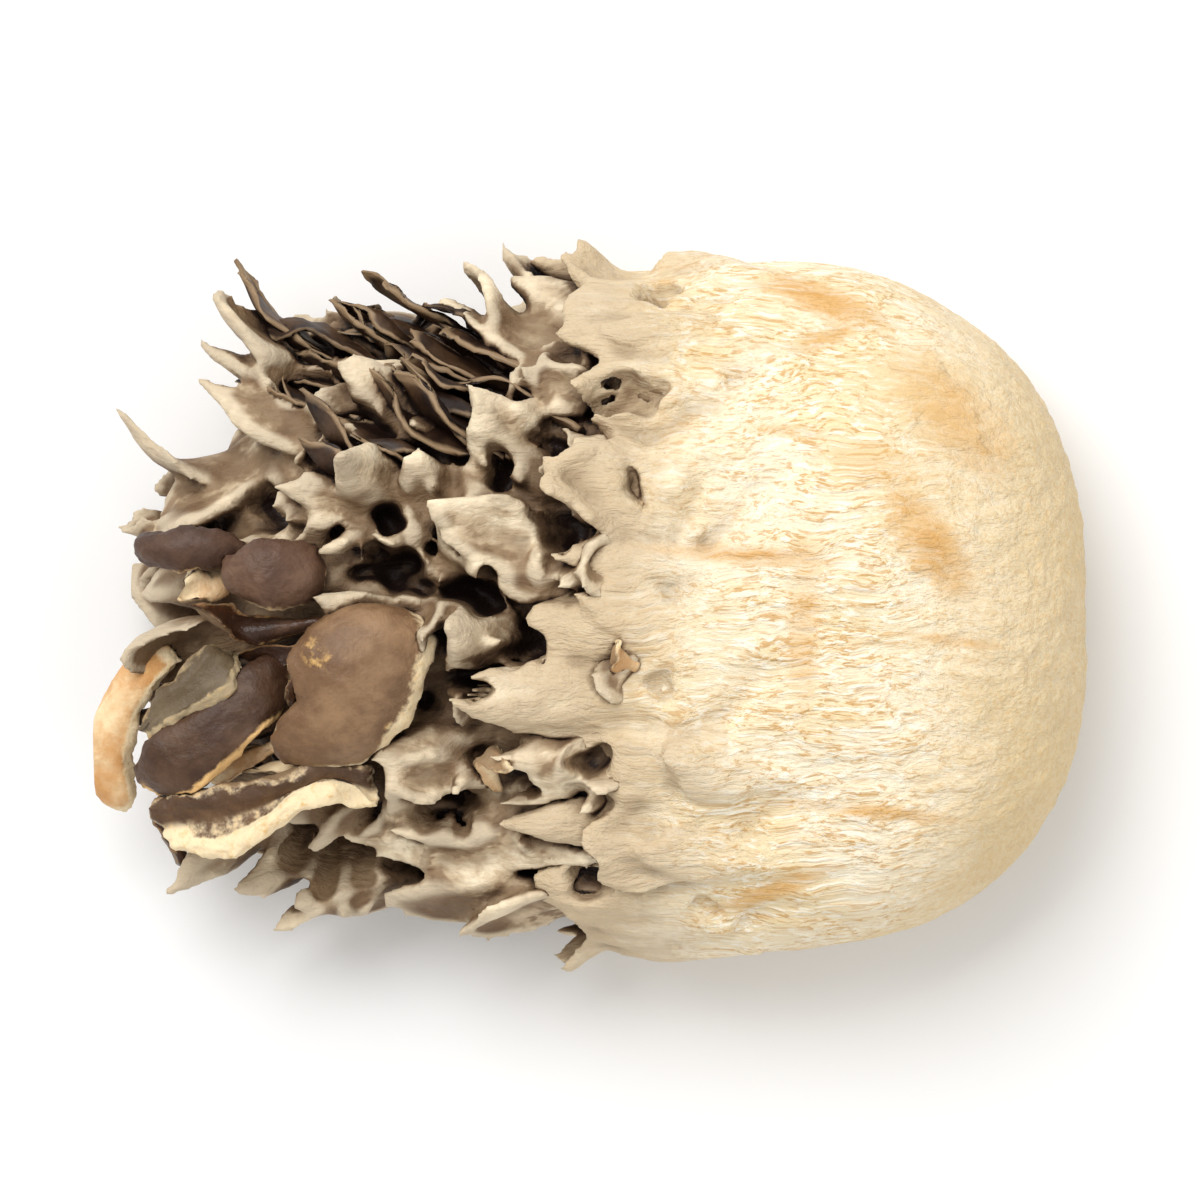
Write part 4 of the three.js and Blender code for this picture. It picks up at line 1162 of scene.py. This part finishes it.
def sheet_piece(name, upper, lower, crown, thickness, steps=(60, 44)):
    rows, columns = steps
    s = np.sin(np.linspace(-0.5, 0.5, rows) * math.pi) * 0.5 + 0.5
    t = np.sin(np.linspace(-0.5, 0.5, columns) * math.pi)
    dense = [curve_through([at_pixel(*point) for point in edge], 400) for edge in (upper, lower)]
    first, second = (np.stack([np.interp(s, np.linspace(0, 1, 400), edge[:, k]) for k in range(3)], 1)
                     for edge in dense)
    s, t = s[:, None, None], t[None, :, None]
    across = (second - first)[:, None, :]
    width = np.linalg.norm(across, axis=-1, keepdims=True)
    forward = normalised(np.gradient((first + second) / 2, axis=0))[:, None, :]
    out = np.cross(across, forward)
    out = normalised(out * np.sign(out[..., 2:]))
    ends = np.clip((np.abs(2 * s - 1) - 0.6) / 0.4, 0, 1)
    middle = first[:, None, :] + across * (t + 1) / 2
    middle = middle + forward * np.sign(2 * s - 1) * ends**2 * 0.16 * width * (1 - t**2)
    middle = middle + out * crown * (1 - t**2) * (1 - 0.7 * ends**2)
    normal = normalised(np.cross(np.gradient(middle, axis=1), np.gradient(middle, axis=0)))
    normal = normal * np.sign((normal * out).sum(-1, keepdims=True))
    edge = np.maximum(np.abs(t) ** 6, np.abs(2 * s - 1) ** 10) * np.ones_like(width)
    half = 0.5 * thickness * np.sqrt(np.clip(1 - edge, 0, 1))
    faces_of = [(middle + normal * half * side).reshape(-1, 3) for side in (1, -1)]
    points = np.concatenate(faces_of)
    quads = []
    count = rows * columns
    for i in range(rows - 1):
        for k in range(columns - 1):
            a, b = i * columns + k, i * columns + k + 1
            quads.append((a, b, b + columns, a + columns))
            quads.append((a + count, a + columns + count, b + columns + count, b + count))
    mesh = bpy.data.meshes.new(name)
    mesh.from_pydata((points * MM).tolist(), [], quads)
    spread = np.ones((rows, columns, 1))
    margin = np.maximum(np.clip((np.abs(t) - 0.6) / 0.4, 0, 1),
                        np.clip((np.abs(2 * s - 1) - 0.8) / 0.2, 0, 1)) * spread
    for key, value in (("along", s * spread), ("across", t * spread), ("margin", margin)):
        store(mesh, key, np.tile(value.ravel(), 2))
    store(mesh, "face", np.repeat([1.0, -1.0], count))
    body = bmesh.new()
    body.from_mesh(mesh)
    bmesh.ops.remove_doubles(body, verts=body.verts, dist=0.001 * MM)
    bmesh.ops.recalc_face_normals(body, faces=body.faces)
    body.to_mesh(mesh)
    body.free()
    return new_piece(name, mesh)


# %% What drying and breaking did to a sheet
def weather_tree():
    tree, given, result = grown_tree("weathered", {"Ragged": 0.0008, "Wrinkle": 0.0004, "Finish": None})
    place, normal = tree.node("GeometryNodeInputPosition"), tree.node("GeometryNodeInputNormal")
    margin = tree.node("GeometryNodeInputNamedAttribute", dict(data_type="FLOAT"), "margin")
    coarse = tree.node("ShaderNodeTexNoise", None, Vector=place, Scale=480.0, Detail=3.0, get="Color")
    fold = noise(tree, place, 300.0, 2.0)
    grain = noise(tree, place, 1300.0, 3.0)
    torn = (coarse - (0.5, 0.5, 0.5)) * (given["Ragged"] * 2.5 * margin)
    wrinkled = normal * (((fold - 0.5) + (grain - 0.5) * 0.35 * (margin * 1.5 + 0.5))
                         * given["Wrinkle"] * 2.0)
    moved = tree.node("GeometryNodeSetPosition", None, given["Geometry"], Offset=torn + wrinkled)
    moved = tree.node("GeometryNodeSetShadeSmooth", None, moved)
    tree.put(result, tree.node("GeometryNodeSetMaterial", None, moved, Material=given["Finish"]))
    return tree.nodes_of


WEATHER = weather_tree()

# %% The caps, from the edges that the photograph shows: pixel across, pixel down, and height in millimetres
CAP_THICKNESS = 1.6
CAPS = {
    "taupe_cap": dict(
        upper=[(600, 437, 17), (597, 426, 18.5), (607, 415, 20), (604, 403, 20.5), (607, 393, 20),
               (617, 388, 19)],
        lower=[(632, 439, 17), (647, 426, 18.5), (655, 413, 19), (661, 401, 19.5), (663, 389, 19.5),
               (651, 386, 19)],
        crown=1.6,
        finish=cap_finish("cap_taupe", srgb(150, 118, 86), srgb(112, 82, 56), BRIGHT_RIM, 0.7, 0.45, 0.1)),
    "long_dark_cap": dict(
        upper=[(601, 397, 15), (583, 404, 16.5), (562, 421, 17), (546, 431, 16.5), (541, 444, 15)],
        lower=[(600, 415, 15.5), (592, 428, 17), (577, 442, 17), (566, 451, 16.5), (549, 454, 15)],
        crown=0.5,
        finish=cap_finish("cap_dark_purple_brown", srgb(96, 70, 50), srgb(66, 42, 28), ORANGE_RIM, 0.0,
                          0.45, 0.3)),
    "grey_lobe_cap": dict(
        upper=[(580, 397, 16.5), (569, 396, 17.5), (557, 406, 17.5), (546, 418, 16.5), (542, 428, 15)],
        lower=[(583, 402, 17), (580, 410, 18), (568, 420, 18), (554, 427, 17.5), (545, 432, 16)],
        crown=-0.5,
        finish=cap_finish("cap_grey_green", srgb(118, 102, 78), srgb(92, 76, 54), srgb(180, 160, 126))),
    "curled_rim_cap": dict(
        upper=[(549, 393, 13), (536, 405, 12.5), (527, 418, 12), (521, 432, 11.5), (521, 446, 10.5),
               (528, 459, 9.5)],
        lower=[(557, 399, 13.5), (548, 411, 14), (541, 422, 13.5), (537, 434, 13), (537, 447, 12),
               (535, 458, 10.5)],
        crown=0.9,
        finish=cap_finish("cap_cream_orange", srgb(240, 214, 170), srgb(208, 152, 92), BRIGHT_RIM, 1.0, 0.6,
                          0.1)),
    "rolled_cap": dict(
        upper=[(635, 444, 17.5), (618, 441, 18.5), (603, 446, 18.5), (588, 450, 18), (572, 453, 17.5),
               (556, 454, 16.5), (546, 459, 15)],
        lower=[(637, 460, 16.5), (623, 455, 18), (609, 458, 18.5), (599, 466, 18.5), (588, 474, 18),
               (575, 480, 17), (556, 477, 15.5)],
        crown=-1.3,
        finish=cap_finish("cap_rolled_brown", srgb(122, 92, 64), srgb(78, 54, 36), BRIGHT_RIM, 0.2, 0.45,
                          -0.1)),
    "oval_cap": dict(
        upper=[(612, 356, 17.5), (604, 352, 18.5), (594, 351, 19), (585, 355, 18.5), (580, 361, 17.5)],
        lower=[(614, 372, 17.5), (606, 377, 18), (595, 377, 18.5), (586, 374, 18), (580, 367, 17.5)],
        crown=0.8,
        finish=cap_finish("cap_oval_purple_brown", srgb(112, 84, 64), srgb(82, 56, 42),
                          srgb(200, 172, 134))),
    "small_oval_cap": dict(
        upper=[(585, 354, 15.5), (573, 349, 16.5), (562, 347, 16.5), (552, 350, 16), (542, 352, 15)],
        lower=[(585, 358, 15.5), (573, 361, 16), (562, 361, 16.5), (552, 359, 16), (542, 355, 15)],
        crown=0.6,
        finish=cap_finish("cap_small_dark", srgb(92, 66, 50), srgb(62, 40, 30), srgb(190, 160, 122))),
}


def cap_piece(name, upper, lower, crown, finish):
    sheet = sheet_piece(name + "_skin", upper, lower, crown, CAP_THICKNESS)
    return plain(grow(sheet, WEATHER, ragged=0.7 * MM, wrinkle=0.35 * MM, finish=finish))


caps = {name: cap_piece(name, **cap) for name, cap in CAPS.items()}
print("caps:", {name: len(triangles(cap.data)) for name, cap in caps.items()})

# %% [markdown]
# ## How open each point lies
# In the photograph the gaps between the lobes are nearly black, and the crests almost white. Part of that
# is shadow, and part is flesh that dried darker inside. Rays sent out from each vertex measure how much
# of its sky is covered by the clump itself, and the finishes darken by that measure: painted shade,
# together with the darker flesh.

# %% Rays from every vertex
RAYS = 24
RAY_REACH = 7.0
GOLDEN_ANGLE = math.pi * (3 - math.sqrt(5))


def sky_directions():
    directions = []
    for i in range(RAYS):
        height = 1 - 2 * (i + 0.5) / RAYS
        radius = math.sqrt(1 - height * height)
        directions.append(Vector((radius * math.cos(GOLDEN_ANGLE * i), radius * math.sin(GOLDEN_ANGLE * i),
                                  height)))
    return directions


def measure_openness(made):
    points, faces, start = [], [], 0
    for piece in made:
        points.append(places(piece.data))
        faces.append(triangles(piece.data) + start)
        start += len(points[-1])
    clump = BVHTree.FromPolygons(np.concatenate(points).tolist(), np.concatenate(faces).tolist())
    directions = sky_directions()
    reach = RAY_REACH * MM
    for piece in made:
        values = []
        for vertex in piece.data.vertices:
            normal = vertex.normal
            start = vertex.co + normal * (0.15 * MM)
            seen = total = 0.0
            for direction in directions:
                facing = normal.dot(direction)
                if facing > 0.25:
                    hit = clump.ray_cast(start, direction, reach)[3]
                    total += facing
                    seen += facing * (1.0 if hit is None else (hit / reach) ** 1.5)
            values.append(seen / total)
        store(piece.data, "open", values)
        print(piece.name, "mean openness", round(float(np.mean(values)), 2))


made = [stem_base, fronds, lamellae, dark_curls, pale_curls, *caps.values()]
measure_openness(made)

# %% [markdown]
# ## Crests and valleys
# The rims of the lobes are thin, and the finishes paint highlight on them and shade in the lobes' cupped
# middles. How far each vertex stands out from its neighbours tells a rim from a cup, so that height is
# averaged a few times and kept as a measure.

# %% How far each vertex stands out from its neighbours
CREST_HEIGHT = 0.012


def measure_crests(piece, rounds):
    mesh = piece.data
    ends = np.zeros(len(mesh.edges) * 2, np.int32)
    mesh.edges.foreach_get("vertices", ends)
    a, b = ends.reshape(-1, 2).T
    count = np.bincount(a, minlength=len(mesh.vertices)) + np.bincount(b, minlength=len(mesh.vertices))

    def averaged(values):
        total = np.bincount(a, values[b], len(count)) + np.bincount(b, values[a], len(count))
        return total / np.maximum(count, 1)

    points = places(mesh).astype(float)
    normals = np.array([vertex.normal for vertex in mesh.vertices])
    around = np.stack([averaged(points[:, k]) for k in range(3)], 1)
    crest = ((points - around) * normals).sum(1) / (CREST_HEIGHT * MM)
    for _ in range(rounds):
        crest = 0.3 * crest + 0.7 * averaged(crest)
    store(mesh, "crest", np.clip(crest, -2, 2))
    print(piece.name, "crests:", [round(float(v), 2) for v in np.percentile(crest, (5, 25, 50, 75, 95))],
          "openness:", [round(float(v), 2) for v in np.percentile(read(mesh, "open"), (5, 25, 50, 75, 95))])


for piece in (stem_base, fronds):
    measure_crests(piece, 9)

# %% [markdown]
# ## Inside the solids' box, and each piece in its node's place
# A finer mesh may not be larger than the solid that it stands for, so the few vertices that torn edges push
# past the solids' box are brought back onto it. Then each piece is attached to the root body, and the
# solids that the pieces replace are hidden.

# %% Keep inside the box and replace the solids
def keep_inside(piece):
    low, high = np.array(solid_box[0]), np.array(solid_box[1])
    margin = 0.02 * MM
    kept = np.clip(places(piece.data), low + margin, high - margin)
    piece.data.vertices.foreach_set("co", kept.ravel())
    piece.data.update()


def shade_smooth(piece):
    piece.data.polygons.foreach_set("use_smooth", [True] * len(piece.data.polygons))


for piece in made:
    keep_inside(piece)
    shade_smooth(piece)
    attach(piece, "root")
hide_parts("stem_base")
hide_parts("small_fronds")
for name, cap in caps.items():
    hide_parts(name)

# %% [markdown]
# ## Floor, light and camera
# The photograph looks straight down on a white table, under soft light that leaves hardly a shadow. A large
# soft lamp from the upper left gives the crests their light side, a bright surround fills the shadows, and
# the long lens keeps the view as flat as the photograph's.

# %% Floor
floor_mesh = bpy.data.meshes.new("floor")
floor_mesh.from_pydata([(-1, -1, 0), (1, -1, 0), (1, 1, 0), (-1, 1, 0)], [], [(0, 1, 2, 3)])
floor_piece = new_piece("floor", floor_mesh)
floor_material, floor_tree = new_finish("floor_white")
floor_tree.put(
    floor_tree.nodes_of.nodes.new("ShaderNodeOutputMaterial").inputs[0],
    floor_tree.node("ShaderNodeBsdfPrincipled", None,
                    **{"Base Color": (0.9, 0.9, 0.9, 1.0), "Roughness": 0.9}),
)
floor_mesh.materials.append(floor_material)

# %% Light
def lamp(name, place, power, size):
    light = bpy.data.lights.new(name, "AREA")
    light.energy = power
    light.size = size
    lamp_object = bpy.data.objects.new(name, light)
    bpy.context.scene.collection.objects.link(lamp_object)
    lamp_object.location = place
    lamp_object.rotation_mode = "QUATERNION"
    lamp_object.rotation_quaternion = (-Vector(place)).to_track_quat("-Z", "Y")


lamp("key", (-0.2, 0.3, 0.5), 3.1, 0.4)
lamp("fill", (0.4, -0.25, 0.5), 0.8, 0.5)
world = bpy.data.worlds.new("surround")
bpy.context.scene.world = world
world.use_nodes = True
world.node_tree.nodes["Background"].inputs["Color"].default_value = (1.0, 0.985, 0.96, 1.0)
world.node_tree.nodes["Background"].inputs["Strength"].default_value = 0.6
bpy.context.scene.view_settings.view_transform = "Standard"

# %% Camera
LENS = 180.0
SENSOR = 36.0
VIEW_WIDTH = 84.0
VIEW_MIDDLE = (-9.0, 0.8)
MIDDLE_HEIGHT = 12.0

camera = bpy.data.cameras.new("camera")
camera.lens = LENS
camera.sensor_width = SENSOR
camera.clip_start = 0.01
camera_object = bpy.data.objects.new("camera", camera)
bpy.context.scene.collection.objects.link(camera_object)
camera_object.location = (VIEW_MIDDLE[0] * MM, VIEW_MIDDLE[1] * MM,
                          (MIDDLE_HEIGHT + VIEW_WIDTH * LENS / SENSOR) * MM)
bpy.context.scene.camera = camera_object
print("camera height (mm):", round(camera_object.location.z / MM))
